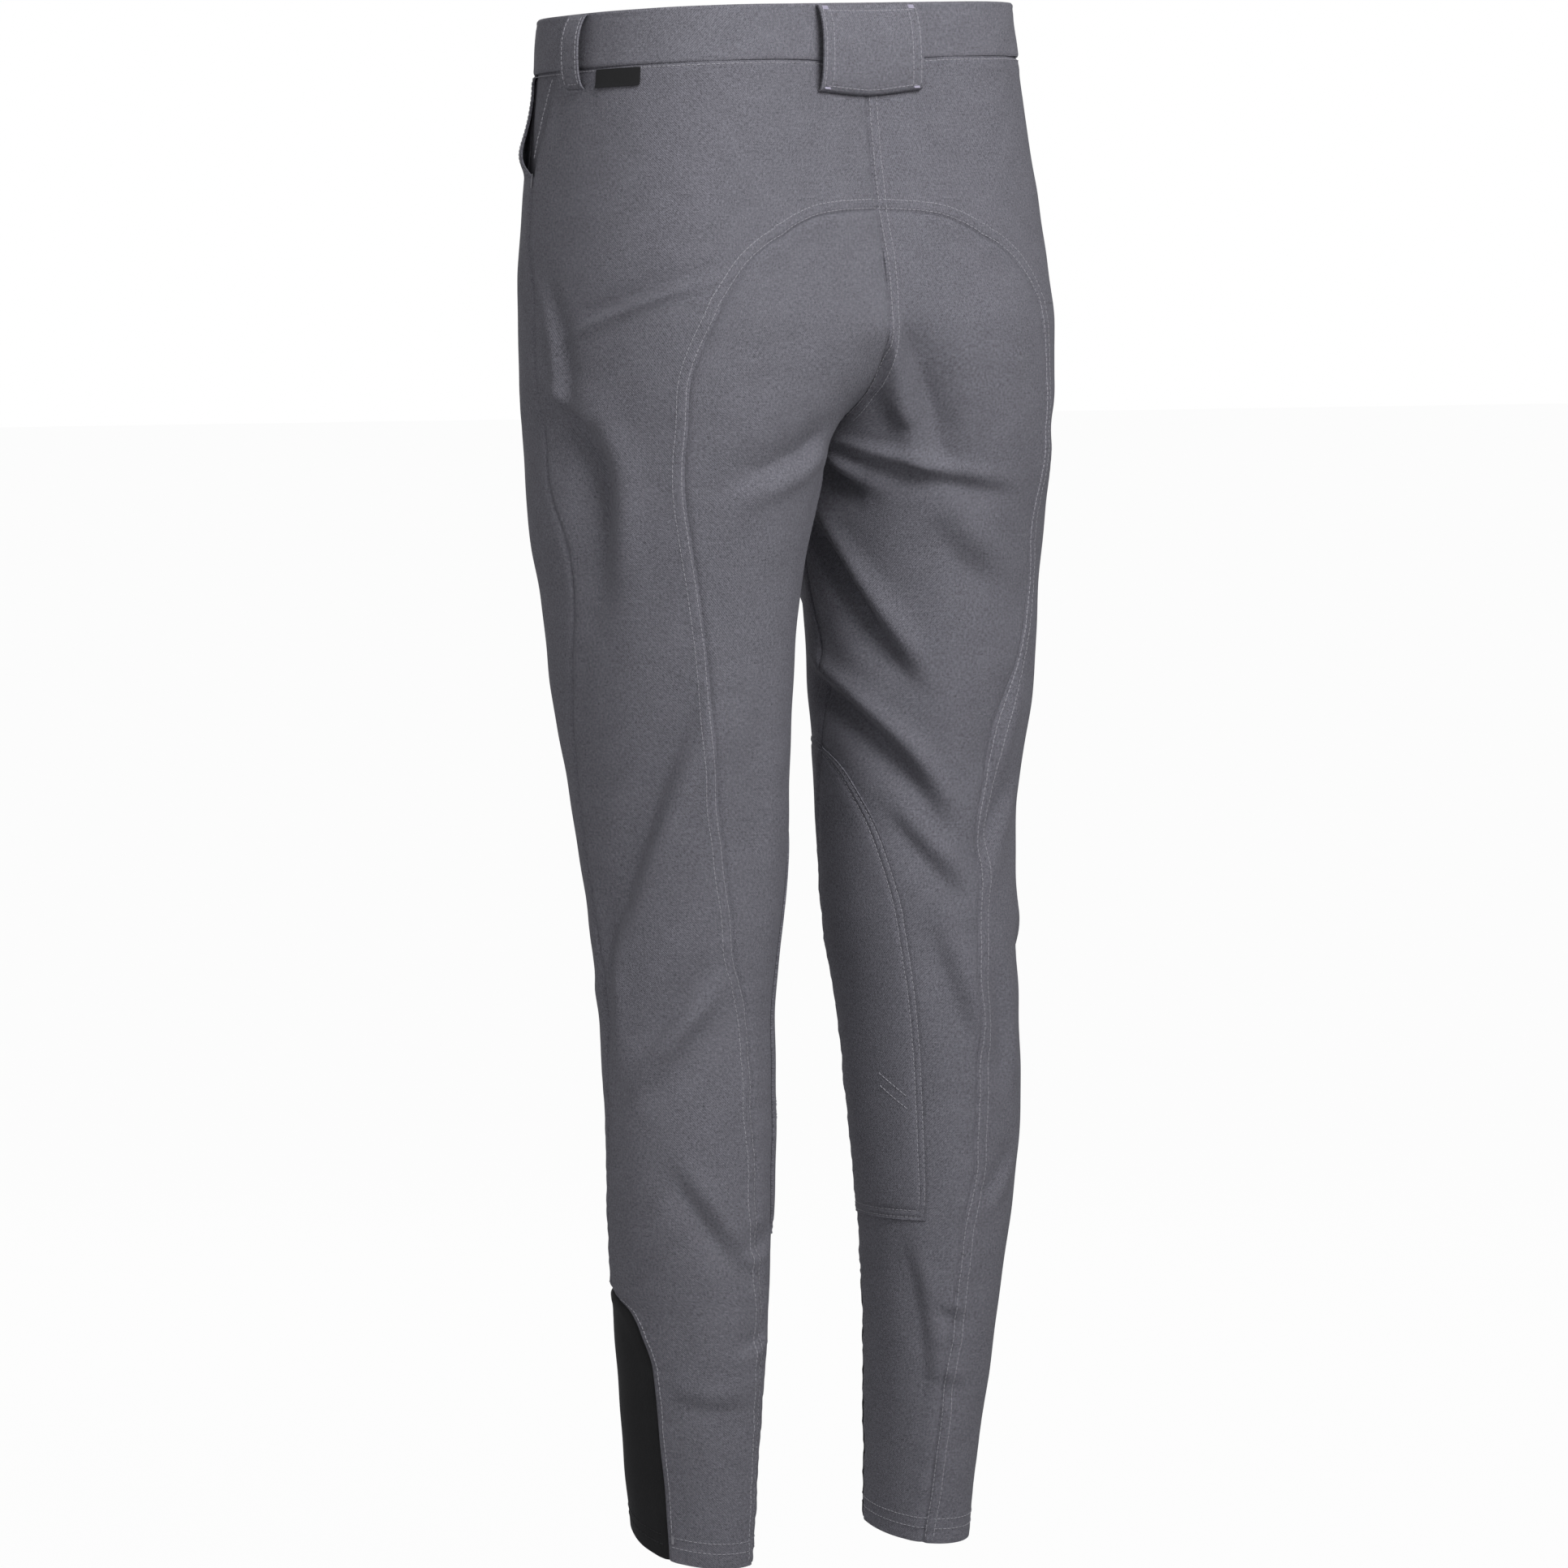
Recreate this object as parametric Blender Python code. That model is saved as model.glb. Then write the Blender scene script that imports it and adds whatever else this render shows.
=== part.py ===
"""Riding breeches, filled out with no wearer: cut-and-sewn panels as thin walls.

Millimetres inside the script, metres in the meshes. +Z up, the front faces -Y, and the
wearer's left is +X. The origin is inside the waist, where the wearer holds the garment.

Every panel lies on one form. A place on the form is (leg, turn, z). turn runs round one
half of the garment in degrees: 0 at the outer side, 90 at the back, -90 at the front, and
180 or -180 at the centre seams above the crotch and at the inner side of the leg below it.
"""
import math
from collections import namedtuple

import bmesh
import bpy
import numpy as np

MM = 0.001
TINY = 1e-6

# Driving sizes, mm
SEAM_GAP = 0.3
CLOTH = 1.2
BAND_CLOTH = 2.4
BAND_PROUD = 0.6
LOOP_CLOTH = 1.4
TAB_CLOTH = 0.6
BAND_TOP = 11
BAND_MIDDLE = -6
WAIST_SEAM = -23
SEAT_TOP = -113
ARC_FOOT = -170
CROTCH = -262
SHIN_TOP = -782
HEM = -946
POCKET_FOOT = -92
FLY_FOOT = -170
FLY_WIDTH_TURN = 44
PATCH_TOP = -445
PATCH_FOOT = -745
OVERLAY_LIFT = 1.1
POCKET_GAPE = 6.0
POCKET_DEPTH = 1.5
POCKET_FACING_TOP = -20
LAP_START = 348
LAP_TURN = 52
WIDE_LOOP_TURN = 126
LOOP_TOP = 10
WIDE_LOOP_FOOT = -42
NARROW_LOOP_FOOT = -36
LOOP_STAND_OFF = 7.5
FACING_FRONT_TURN = -44
FACING_BACK_TURN = 2
TAB_FRONT_TURN = 16
TAB_BACK_TURN = 36
TAB_FOOT = -36
WELD_DISTANCE = 0.00005

SIDES = {"left": 1, "right": -1}

# One row for each level of the seat and hips: half widths and depths of one half
Level = namedtuple("Level", "z side side_y back back_x back_end front front_x front_end round")
HIP_LEVELS = (
    Level(20, 152, -12, 87, 66, 86, -104, 60, -103, 2.30),
    Level(-19, 155, -11, 90, 68, 89, -107, 62, -106, 2.30),
    Level(-60, 160, -8, 96, 71, 93, -111, 64, -110, 2.25),
    Level(-106, 166, -4, 105, 74, 101, -114, 66, -112, 2.20),
    Level(-147, 170, 0, 113, 77, 112, -115, 70, -111, 2.15),
    Level(-183, 172, 3, 119, 80, 117, -114, 76, -104, 2.10),
    Level(-203, 172, 4, 119, 82, 108, -112, 80, -97, 2.10),
    Level(-219, 172, 5, 118, 83, 96, -110, 84, -86, 2.10),
    Level(-234, 171, 6, 117, 85, 76, -107, 88, -68, 2.10),
    Level(-248, 170, 7, 115, 86, 48, -104, 91, -42, 2.10),
    Level(CROTCH, 170, 8, 113, 88, 14, -101, 93, 14, 2.10),
)

# One row for each ring down a leg: its centre, half width, half depth and turn in degrees
Ring = namedtuple("Ring", "z x y half_width half_depth toe_out")
LEG_RINGS = {
    "left": (
        Ring(-300, 92, 10, 80, 97, 8),
        Ring(-356, 93, 11, 72, 87, 9),
        Ring(-420, 92, 13, 65.5, 81, 10),
        Ring(-489, 88, 16, 60, 73, 10),
        Ring(-550, 88, 20, 54.5, 65, 10),
        Ring(-611, 91.5, 26, 51, 56, 10),
        Ring(-693, 92, 31, 50, 53, 10),
        Ring(-795, 90, 29, 41.5, 54, 10),
        Ring(-897, 87, 25, 34, 48, 10),
        Ring(HEM, 85, 22, 30.5, 45, 10),
    ),
    "right": (
        Ring(-300, 92, 10, 78, 93, 8),
        Ring(-356, 95, 12, 72, 80, 9),
        Ring(-420, 95, 13, 68, 75, 10),
        Ring(-489, 90.5, 16, 60.5, 67, 10),
        Ring(-550, 90, 21, 59.5, 63, 10),
        Ring(-611, 93, 26, 56, 60, 10),
        Ring(-693, 95, 31, 52, 53, 10),
        Ring(-795, 92.5, 29, 40.5, 52, 10),
        Ring(-897, 87.5, 25, 32, 46, 10),
        Ring(HEM, 86, 22.5, 29.5, 42.5, 10),
    ),
}
LEG_ROUND = 2.1

# Where the long seams run, in degrees of turn, at each height
Seams = namedtuple("Seams", "z side seat_left seat_right inseam")
LONG_SEAMS = (
    Seams(WAIST_SEAM, -4, 66, 66, 180),
    Seams(-50, -8, 66, 66, 180),
    Seams(POCKET_FOOT, -16, 66, 66, 180),
    Seams(-125, -16, 80, 74, 180),
    Seams(ARC_FOOT, -12, 66, 66, 180),
    Seams(-225, -12, 55, 61, 180),
    Seams(CROTCH, -10, 55, 62, 180),
    Seams(-315, 3, 61, 65, 194),
    Seams(-345, 4, 65, 62, 195),
    Seams(-390, 0, 69, 68, 187),
    Seams(-440, -8, 71, 82, 192),
    Seams(-500, -13, 74, 87, 204),
    Seams(-560, -16, 83, 89, 212),
    Seams(-620, -13, 100, 92, 216),
    Seams(-700, -20, 106, 96, 218),
    Seams(SHIN_TOP, -30, 113, 107, 218),
    Seams(-865, -30, 120, 116, 218),
    Seams(HEM, -30, 125, 126, 218),
)

# The narrow belt loops: their middle and width in degrees of turn
LoopPlace = namedtuple("LoopPlace", "name turn span")
NARROW_LOOPS = (LoopPlace("side", 7, 8), LoopPlace("front", -83, 6))

Corner = namedtuple("Corner", "turn z")
# The top of the full seat, from its foot on the hip up to the centre back
SEAT_ARC = (
    Corner(66, ARC_FOOT),
    Corner(78, -144),
    Corner(90, -130),
    Corner(104, -122),
    Corner(126, -116),
    Corner(150, -114),
    Corner(180, SEAT_TOP),
)
# The outer edge of the stretch shin panel
SHIN_EDGE = (
    Corner(-30, SHIN_TOP),
    Corner(0, -793),
    Corner(11, -811),
    Corner(18, -829),
    Corner(21, -865),
    Corner(24, -905),
    Corner(26, HEM),
)
# The slanted mouth of the front pocket, from the waist down to the side seam
POCKET_MOUTH = (
    Corner(-30, WAIST_SEAM),
    Corner(-28, -46),
    Corner(-24, -69),
    Corner(-16, POCKET_FOOT),
)
# Knee patch edges, one row for each height
PatchRow = namedtuple("PatchRow", "z back front")
PATCH_EDGES = (
    PatchRow(PATCH_TOP, 200, 222),
    PatchRow(-455, 183, 242),
    PatchRow(-475, 165, 262),
    PatchRow(-515, 145, 280),
    PatchRow(-555, 135, 287),
    PatchRow(-600, 133, 290),
    PatchRow(-640, 132, 290),
    PatchRow(-680, 132, 290),
    PatchRow(-720, 132, 290),
    PatchRow(PATCH_FOOT, 134, 289),
)

# The largest folds: a soft trough from one place to another (negative depth is a ridge)
Fold = namedtuple("Fold", "leg turn_a z_a turn_b z_b depth width")
FOLDS = (
    Fold("right", 168, -190, 112, -268, 7, 15),
    Fold("right", 172, -268, 90, -283, 5, 13),
    Fold("right", 190, -310, 132, -395, 8, 16),
    Fold("right", 195, -405, 118, -482, 6, 15),
    Fold("left", -15, -245, 22, -345, 8, 17),
    Fold("left", 62, -392, 14, -505, 5, 17),
    Fold("left", 66, -565, 10, -610, 4, 15),
    Fold("left", 58, -150, -5, -185, 3, 16),
    Fold("left", -165, -240, -105, -275, 6, 15),
    Fold("right", -165, -235, -100, -280, 6, 16),
    Fold("left", -150, -330, -95, -410, 5, 16),
    Fold("right", -150, -350, -90, -420, 5, 16),
)

# Small tilts of the rings: rise per mm of depth and per mm of width, at each height
Tilt = namedtuple("Tilt", "z rise_back rise_side")
TILTS = (
    Tilt(20, 0.04, -0.026),
    Tilt(-19, 0.04, -0.026),
    Tilt(-120, 0.0, 0.0),
    Tilt(-850, 0.0, 0.0),
    Tilt(HEM, -0.145, 0.0),
)
BACK_DIP = 5.0
HEM_FRONT_LIFT = 9.0

LEG_HEIGHTS = (CROTCH, -290, -320, -355, -395, -435, -475, -515, -555, -600, -640, -680, -720,
               PATCH_FOOT, SHIN_TOP, -793, -811, -829, -865, -905, HEM)
SEAT_SIDE_HEIGHTS = (ARC_FOOT, -193, -216, -239, CROTCH)
CENTRE_BACK_HEIGHTS = (SEAT_TOP, -150, -187, -225, CROTCH)
HIP_SIDE_HEIGHTS = (WAIST_SEAM, -46, -69, POCKET_FOOT, -131, ARC_FOOT)


def smooth_table(heights, values, z):
    """A monotone cubic through a table whose heights fall row by row."""
    heights = np.asarray(heights, float)
    values = np.asarray(values, float)
    step = np.diff(heights)
    slope = np.diff(values) / step
    tangent = np.zeros(len(heights))
    for i in range(1, len(heights) - 1):
        if slope[i - 1] * slope[i] > 0:
            w1 = 2 * step[i] + step[i - 1]
            w2 = step[i] + 2 * step[i - 1]
            tangent[i] = (w1 + w2) / (w1 / slope[i - 1] + w2 / slope[i])
    tangent[0] = slope[0]
    tangent[-1] = slope[-1]
    z = min(max(z, heights[-1]), heights[0])
    i = int(np.clip(np.searchsorted(-heights, -z, side="right") - 1, 0, len(step) - 1))
    t = (z - heights[i]) / step[i]
    start = values[i] * (1 + 2 * t) * (1 - t) ** 2 + tangent[i] * step[i] * t * (1 - t) ** 2
    end = values[i + 1] * t * t * (3 - 2 * t) + tangent[i + 1] * step[i] * t * t * (t - 1)
    return float(start + end)


def ring_level(ring):
    """The extreme points of a turned leg ring, named as in Level, with its inner side."""
    sin, cos = math.sin(math.radians(ring.toe_out)), math.cos(math.radians(ring.toe_out))
    across = math.hypot(ring.half_width * cos, ring.half_depth * sin)
    deep = math.hypot(ring.half_depth * cos, ring.half_width * sin)
    skew = (ring.half_depth ** 2 - ring.half_width ** 2) * sin * cos
    level = Level(ring.z, ring.x + across, ring.y - skew / across, ring.y + deep,
                  ring.x - skew / deep, ring.y + skew / across, ring.y - deep,
                  ring.x + skew / deep, ring.y + skew / across, LEG_ROUND)
    return level, ring.x - across


def level_tables():
    """For each leg, its levels from the waist to the hem and the inner side at each."""
    tables = {}
    for leg in SIDES:
        levels = list(HIP_LEVELS)
        inner = [0.0] * len(levels)
        for ring in LEG_RINGS[leg]:
            level, inside = ring_level(ring)
            levels.append(level)
            inner.append(inside)
        tables[leg] = (levels, inner)
    return tables


TABLES = level_tables()


def level_at(leg, z):
    levels, inner = TABLES[leg]
    heights = [level.z for level in levels]
    columns = list(zip(*levels))[1:]
    found = [smooth_table(heights, column, z) for column in columns]
    return Level(z, *found), smooth_table(heights, inner, z)


def section_point(level, inner, turn):
    """Where a level's outline is at this turn: a quarter of a rounded oval at a time."""
    power = 2 / level.round
    quarter = abs(turn) / 90
    if turn >= 0:
        peak_x, peak_y, end_y = level.back_x, level.back, level.back_end
    else:
        peak_x, peak_y, end_y = level.front_x, level.front, level.front_end
    if quarter <= 1:
        angle = quarter * math.pi / 2
        x = peak_x + (level.side - peak_x) * math.cos(angle) ** power
        y = level.side_y + (peak_y - level.side_y) * math.sin(angle) ** power
        return x, y
    above = level.z > CROTCH
    base_y = HIP_LEVELS[-1].back_end if above else level.back_end
    cut = min(max((end_y - base_y) / (peak_y - base_y), 0), 0.9999) if above else 0
    reach = (1 - cut ** level.round) ** (1 / level.round)
    last_angle = math.asin(min(1, reach ** (1 / power)))
    angle = (quarter - 1) * last_angle
    x = peak_x - (peak_x - inner) * math.sin(angle) ** power / reach
    y = base_y + (peak_y - base_y) * max(0, math.cos(angle)) ** power
    return x, y


def rise(level, turn, x, y, sign):
    """The upward shift of a place: tilts, the dip at the centre back, the lifted front hem."""
    heights = [row.z for row in TILTS]
    back = smooth_table(heights, [row.rise_back for row in TILTS], level.z)
    side = smooth_table(heights, [row.rise_side for row in TILTS], level.z)
    middle = (level.back + level.front) / 2
    shift = back * (y - middle) + side * sign * x
    below_top = min(max((BAND_TOP - level.z) / (BAND_TOP - WAIST_SEAM), 0), 1)
    above_seat = min(max((level.z - SEAT_TOP) / (WAIST_SEAM - SEAT_TOP), 0), 1)
    toward_centre = math.exp(-((180 - turn) / 45) ** 2) if turn > 0 else 0
    shift -= BACK_DIP * below_top * above_seat * toward_centre
    near_hem = min(max((level.z - SHIN_TOP) / (HEM - SHIN_TOP), 0), 1)
    shift += HEM_FRONT_LIFT * near_hem ** 2 * math.exp(-((turn + 45) / 40) ** 2)
    return shift


def wrapped(turn):
    """A turn between -180 and 180; either end stays on its own side."""
    if abs(turn) <= 180 + TINY:
        return min(max(turn, -180), 180)
    return (turn + 180) % 360 - 180


def form_point(leg, turn, z):
    """The form without folds, mm, in the garment's frame."""
    turn = wrapped(turn)
    level, inner = level_at(leg, z)
    x, y = section_point(level, inner, turn)
    sign = SIDES[leg]
    return np.array([sign * x, y, z + rise(level, turn, x, y, sign)])


def form_normal(leg, turn, z):
    """Outward unit normal of the form."""
    step = 1.5
    low, high = turn - step, turn + step
    if z > CROTCH:
        low, high = max(low, -180), min(high, 180)
    around = form_point(leg, high, z) - form_point(leg, low, z)
    down = form_point(leg, turn, max(z - 2, HEM)) - form_point(leg, turn, min(z + 2, BAND_TOP))
    normal = np.cross(around, down) * -SIDES[leg]
    return normal / np.linalg.norm(normal)


def fold_depth(leg, turn, z):
    """How far the cloth is pushed in by the folds at this place."""
    degree = 1.35
    total = 0.0
    for fold in FOLDS:
        if fold.leg != leg:
            continue
        here = turn - 360 if turn - fold.turn_a > 180 else turn
        here = here + 360 if fold.turn_a - here > 180 else here
        run = np.array([(fold.turn_b - fold.turn_a) * degree, fold.z_b - fold.z_a])
        place = np.array([(here - fold.turn_a) * degree, z - fold.z_a])
        along = float(place @ run) / float(run @ run)
        nearest = run * min(max(along, 0), 1)
        off = float(np.linalg.norm(place - nearest))
        taper = math.sin(math.pi * min(max(along, 0.0), 1.0)) ** 0.7
        total += fold.depth * taper * math.exp(-(off / fold.width) ** 2)
    return total


def cloth_point(leg, turn, z, lift=0.0):
    """A place on the cloth's outer face, moved out by lift."""
    out = lift - fold_depth(leg, wrapped(turn), z)
    return form_point(leg, turn, z) + out * form_normal(leg, turn, z)


def column(table, name):
    return [getattr(row, name) for row in table]


def seam_turn(name, z):
    return smooth_table(column(LONG_SEAMS, "z"), column(LONG_SEAMS, name), z)


def seat_turn(leg, z):
    return seam_turn("seat_" + leg, z)


def curve_z(corners, turn):
    """The height of an edge at a turn, for an edge listed by rising turn."""
    turns = [-corner.turn for corner in corners]
    return smooth_table(turns, column(corners, "z"), -turn)


def curve_turn(corners, z):
    """The turn of an edge at a height, for an edge listed from the top down."""
    return smooth_table(column(corners, "z"), column(corners, "turn"), z)


def side_edge(z):
    """The edge that the outer panel shares with the front panel and then the shin panel."""
    if z < SHIN_TOP:
        return curve_turn(SHIN_EDGE, z)
    return seam_turn("side", z)


def spread(start, end, count):
    return [start + (end - start) * i / count for i in range(count + 1)]


def rows_between(heights, start, end, count):
    """One row of (turn, z) for each height, from one edge function to another."""
    return [[(turn, z) for turn in spread(start(z), end(z), count)] for z in heights]


# ---- Meshes -------------------------------------------------------------------------------

def inset_edges(mesh, amount):
    """Pull the open edges of a surface back into it, so that pieces clear each other."""
    moves = {}
    for edge in mesh.edges:
        if len(edge.link_faces) != 1:
            continue
        face = edge.link_faces[0]
        along = (edge.verts[1].co - edge.verts[0].co).normalized()
        inward = face.normal.cross(along).normalized()
        middle = (edge.verts[0].co + edge.verts[1].co) / 2
        if inward.dot(face.calc_center_median() - middle) < 0:
            inward.negate()
        for vert in edge.verts:
            moves.setdefault(vert, []).append(inward)
    for vert, ways in moves.items():
        if len(ways) == 2:
            middle = (ways[0] + ways[1]).normalized()
            stretch = max(middle.dot(ways[0]), 0.5)
            vert.co += middle * (amount / stretch)


def surface(lines, flip, weld=False):
    """An open surface from lines of places; a place is (leg, turn, z, lift).

    Each vertex keeps the form's outward normal, so that neighbours thicken alike.
    """
    mesh = bmesh.new()
    outward = mesh.verts.layers.float_vector.new("outward")
    for block in lines:
        verts = []
        for line in block:
            made = []
            for leg, turn, z, lift in line:
                vert = mesh.verts.new(cloth_point(leg, turn, z, lift) * MM)
                vert[outward] = form_normal(leg, turn, z)
                made.append(vert)
            verts.append(made)
        for first, second in zip(verts, verts[1:]):
            for i in range(len(first) - 1):
                corners = [first[i], second[i], second[i + 1], first[i + 1]]
                mesh.faces.new(corners[::-1] if flip else corners)
    if weld:
        bmesh.ops.remove_doubles(mesh, verts=mesh.verts[:], dist=WELD_DISTANCE)
    mesh.normal_update()
    return mesh


def thicken(mesh, thickness):
    """Close an open surface into a wall that lies inward of it."""
    outward = mesh.verts.layers.float_vector["outward"]
    faces = list(mesh.faces)
    border = [edge for edge in mesh.edges if len(edge.link_faces) == 1]
    inner = {}
    for vert in list(mesh.verts):
        inner[vert] = mesh.verts.new(vert.co - vert[outward] * thickness * MM)
    for face in faces:
        mesh.faces.new([inner[vert] for vert in reversed(face.verts)])
    for edge in border:
        loop = edge.link_loops[0]
        first, second = loop.vert, loop.link_loop_next.vert
        mesh.faces.new([second, first, inner[first], inner[second]])


def cloth_material(name, colour, roughness):
    material = bpy.data.materials.new(name)
    material.use_nodes = True
    shader = material.node_tree.nodes["Principled BSDF"]
    shader.inputs["Base Color"].default_value = (*colour, 1)
    shader.inputs["Roughness"].default_value = roughness
    return material


MATERIAL_TABLE = {
    "twill": ((0.105, 0.105, 0.125), 0.85),
    "stretch": ((0.008, 0.008, 0.009), 0.7),
    "tape": ((0.012, 0.012, 0.013), 0.6),
    "button": ((0.07, 0.07, 0.08), 0.45),
}


def add_object(name, mesh, material):
    data = bpy.data.meshes.new(name)
    bmesh.ops.triangulate(mesh, faces=mesh.faces[:])
    mesh.to_mesh(data)
    mesh.free()
    data.shade_smooth()
    data.set_sharp_from_angle(angle=math.radians(40))
    data.materials.append(bpy.data.materials[material])
    piece = bpy.data.objects.new(name, data)
    bpy.context.scene.collection.objects.link(piece)
    return piece


def keep_off_centre(mesh, leg):
    """Hold a panel half a seam gap clear of the plane between the two halves."""
    for vert in mesh.verts:
        if vert.co.x * SIDES[leg] < SEAM_GAP / 2 * MM:
            vert.co.x = SIDES[leg] * SEAM_GAP / 2 * MM


def cloth_piece(name, leg, blocks, material="twill", thickness=CLOTH, lift=None):
    """One sewn piece from blocks of (turn, z) rows, welded, inset at its seams, made thick.

    lift is how far a place lies outside the form's cloth, as a function of turn and z.
    """
    lines = [[[(leg, turn, z, lift(turn, z) if lift else 0.0) for turn, z in row]
              for row in rows] for rows in blocks]
    mesh = surface(lines, flip=leg == "right", weld=True)
    inset_edges(mesh, SEAM_GAP / 2 * MM)
    thicken(mesh, thickness)
    keep_off_centre(mesh, leg)
    return add_object(name, mesh, material)


# ---- The pieces of one leg ----------------------------------------------------------------

def outer_panel(leg):
    """Back yoke and outer leg in one: from the side seam to the centre back and full seat."""
    side_turns, arc_turns = 5, 8
    across = spread(0, 1, side_turns)
    top_turns = spread(66, 180, arc_turns)
    hip = []
    for k, side_z in enumerate(HIP_SIDE_HEIGHTS):
        share = k / (len(HIP_SIDE_HEIGHTS) - 1)
        start = side_edge(side_z)
        row = [(start + (66 - start) * t, side_z) for t in across[:-1]]
        for turn in top_turns:
            foot = curve_z(SEAT_ARC, turn)
            row.append((turn, WAIST_SEAM + (foot - WAIST_SEAM) * share))
        hip.append(row)
    for row in hip[1:-1]:
        side_z, arc_z = row[0][1], row[side_turns][1]
        for i, t in enumerate(across[:-1]):
            row[i] = (row[i][0], side_z + (arc_z - side_z) * t)
    heights = SEAT_SIDE_HEIGHTS + LEG_HEIGHTS[1:]
    lower = rows_between(heights, side_edge, lambda z: seat_turn(leg, z), side_turns)
    return cloth_piece(leg + "_outer_panel", leg, [hip, lower])


def seat_panel(leg):
    """Full seat and inner leg in one: from the seat arc to the crotch and down the inseam."""
    columns = 8
    upper = []
    for k, (side_z, centre_z) in enumerate(zip(SEAT_SIDE_HEIGHTS, CENTRE_BACK_HEIGHTS)):
        share = k / (len(SEAT_SIDE_HEIGHTS) - 1)
        start = seat_turn(leg, side_z)
        row = []
        for i, t in enumerate(spread(0, 1, columns)):
            turn = start + (180 - start) * t
            arc_z = curve_z(SEAT_ARC, 66 + (180 - 66) * t)
            flat_z = side_z + (centre_z - side_z) * t
            straight = ARC_FOOT + (SEAT_TOP - ARC_FOOT) * t
            row.append((turn, flat_z + (arc_z - straight) * (1 - share)))
        upper.append(row)
    lower = rows_between(LEG_HEIGHTS, lambda z: seat_turn(leg, z),
                         lambda z: seam_turn("inseam", z), columns)
    return cloth_piece(leg + "_seat_panel", leg, [upper, lower])


def gape(turn, z):
    """The pocket mouth stands away from the hip at mid height."""
    along = min(max((WAIST_SEAM - z) / (WAIST_SEAM - POCKET_FOOT), 0), 1)
    near = math.exp(-((turn - curve_turn(POCKET_MOUTH, z)) / 14) ** 2)
    return POCKET_GAPE * math.sin(math.pi * along) ** 1.5 * near


def front_edge(z):
    return curve_turn(POCKET_MOUTH, z) if z > POCKET_FOOT else seam_turn("side", z)


def front_panel(leg):
    """The front, from the centre front and inseam to the pocket mouth and side seam."""
    heights = HIP_SIDE_HEIGHTS + SEAT_SIDE_HEIGHTS[1:]
    heights += tuple(z for z in LEG_HEIGHTS[1:] if z >= SHIN_TOP)
    rows = rows_between(heights, lambda z: seam_turn("inseam", z) - 360, front_edge, 10)
    return cloth_piece(leg + "_front_panel", leg, [rows], lift=gape)


def shin_panel(leg):
    """Thin stretch panel over the shin, from the inseam to its curved outer edge."""
    heights = tuple(z for z in LEG_HEIGHTS if z <= SHIN_TOP)
    rows = rows_between(heights, lambda z: seam_turn("inseam", z) - 360,
                        lambda z: curve_turn(SHIN_EDGE, z), 10)
    return cloth_piece(leg + "_shin_panel", leg, [rows], "stretch", 1.0)


def pocket_facing(leg):
    """The cloth that shows inside the pocket mouth, behind the front and outer panels."""
    heights = HIP_SIDE_HEIGHTS[:4]
    behind = -(CLOTH + POCKET_DEPTH)
    rows = rows_between([POCKET_FACING_TOP] + list(heights[1:]),
                        lambda z: FACING_FRONT_TURN, lambda z: FACING_BACK_TURN, 4)
    return cloth_piece(leg + "_pocket_facing", leg, [rows], thickness=1.0,
                       lift=lambda turn, z: behind)


def knee_patch(leg):
    """The second layer over the inner knee, with a rounded top and a square foot."""
    heights = column(PATCH_EDGES, "z")
    rows = rows_between(heights,
                        lambda z: smooth_table(heights, column(PATCH_EDGES, "back"), z),
                        lambda z: smooth_table(heights, column(PATCH_EDGES, "front"), z), 11)
    return cloth_piece(leg + "_knee_patch", leg, [rows], thickness=CLOTH,
                       lift=lambda turn, z: OVERLAY_LIFT + CLOTH)


# ---- Waistband, fly, loops, button and tab ------------------------------------------------

def ring_place(s):
    """(leg, turn) for s from -360 (centre front, right) by 0 (centre back) to 360 (left)."""
    leg = "left" if s >= 0 else "right"
    return leg, 180 - abs(s)


def waistband():
    """One strip round the waist; its left end laps over the right one at the centre front."""
    stations = spread(-360, 360, 56)
    lap = BAND_CLOTH + SEAM_GAP
    heights = (BAND_TOP, BAND_MIDDLE, WAIST_SEAM + SEAM_GAP)
    lines = []
    for s in stations:
        leg, turn = ring_place(s)
        ramp = min(max((s - LAP_START) / (360 - LAP_START), 0), 1)
        lines.append([(leg, turn, z, BAND_PROUD + lap * ramp) for z in heights])
    for turn in spread(-180, -180 + LAP_TURN, 4)[1:]:
        lines.append([("right", turn, z, BAND_PROUD + lap) for z in heights])
    mesh = surface([lines], flip=False)
    thicken(mesh, BAND_CLOTH)
    return add_object("waistband", mesh, "twill")


def fly_placket():
    """The stitched fly on the left front, with a curved foot."""
    heights = (WAIST_SEAM - SEAM_GAP, -50, -80, -110, -140, FLY_FOOT)
    foot_curve = {-140: 0.86, FLY_FOOT: 0.35}
    rows = [[(turn, z) for turn in spread(-180, -180 + FLY_WIDTH_TURN * foot_curve.get(z, 1), 3)]
            for z in heights]
    return cloth_piece("fly_placket", "left", [rows], thickness=1.0,
                       lift=lambda turn, z: 2 * SEAM_GAP + 1.0)


def belt_loop(name, stations, foot, gap):
    """A folded strip over the band: stitched at its head and foot, standing off between."""
    seat = BAND_PROUD + gap + LOOP_CLOTH
    lines = []
    for leg, turn in stations:
        line = []
        for t in spread(0, 1, 6):
            bow = LOOP_STAND_OFF * math.sin(math.pi * t) ** 0.55
            line.append((leg, turn, LOOP_TOP + (foot - LOOP_TOP) * t, seat + bow))
        lines.append(line)
    mesh = surface([lines], flip=False)
    thicken(mesh, LOOP_CLOTH)
    return add_object(name, mesh, "twill")


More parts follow.
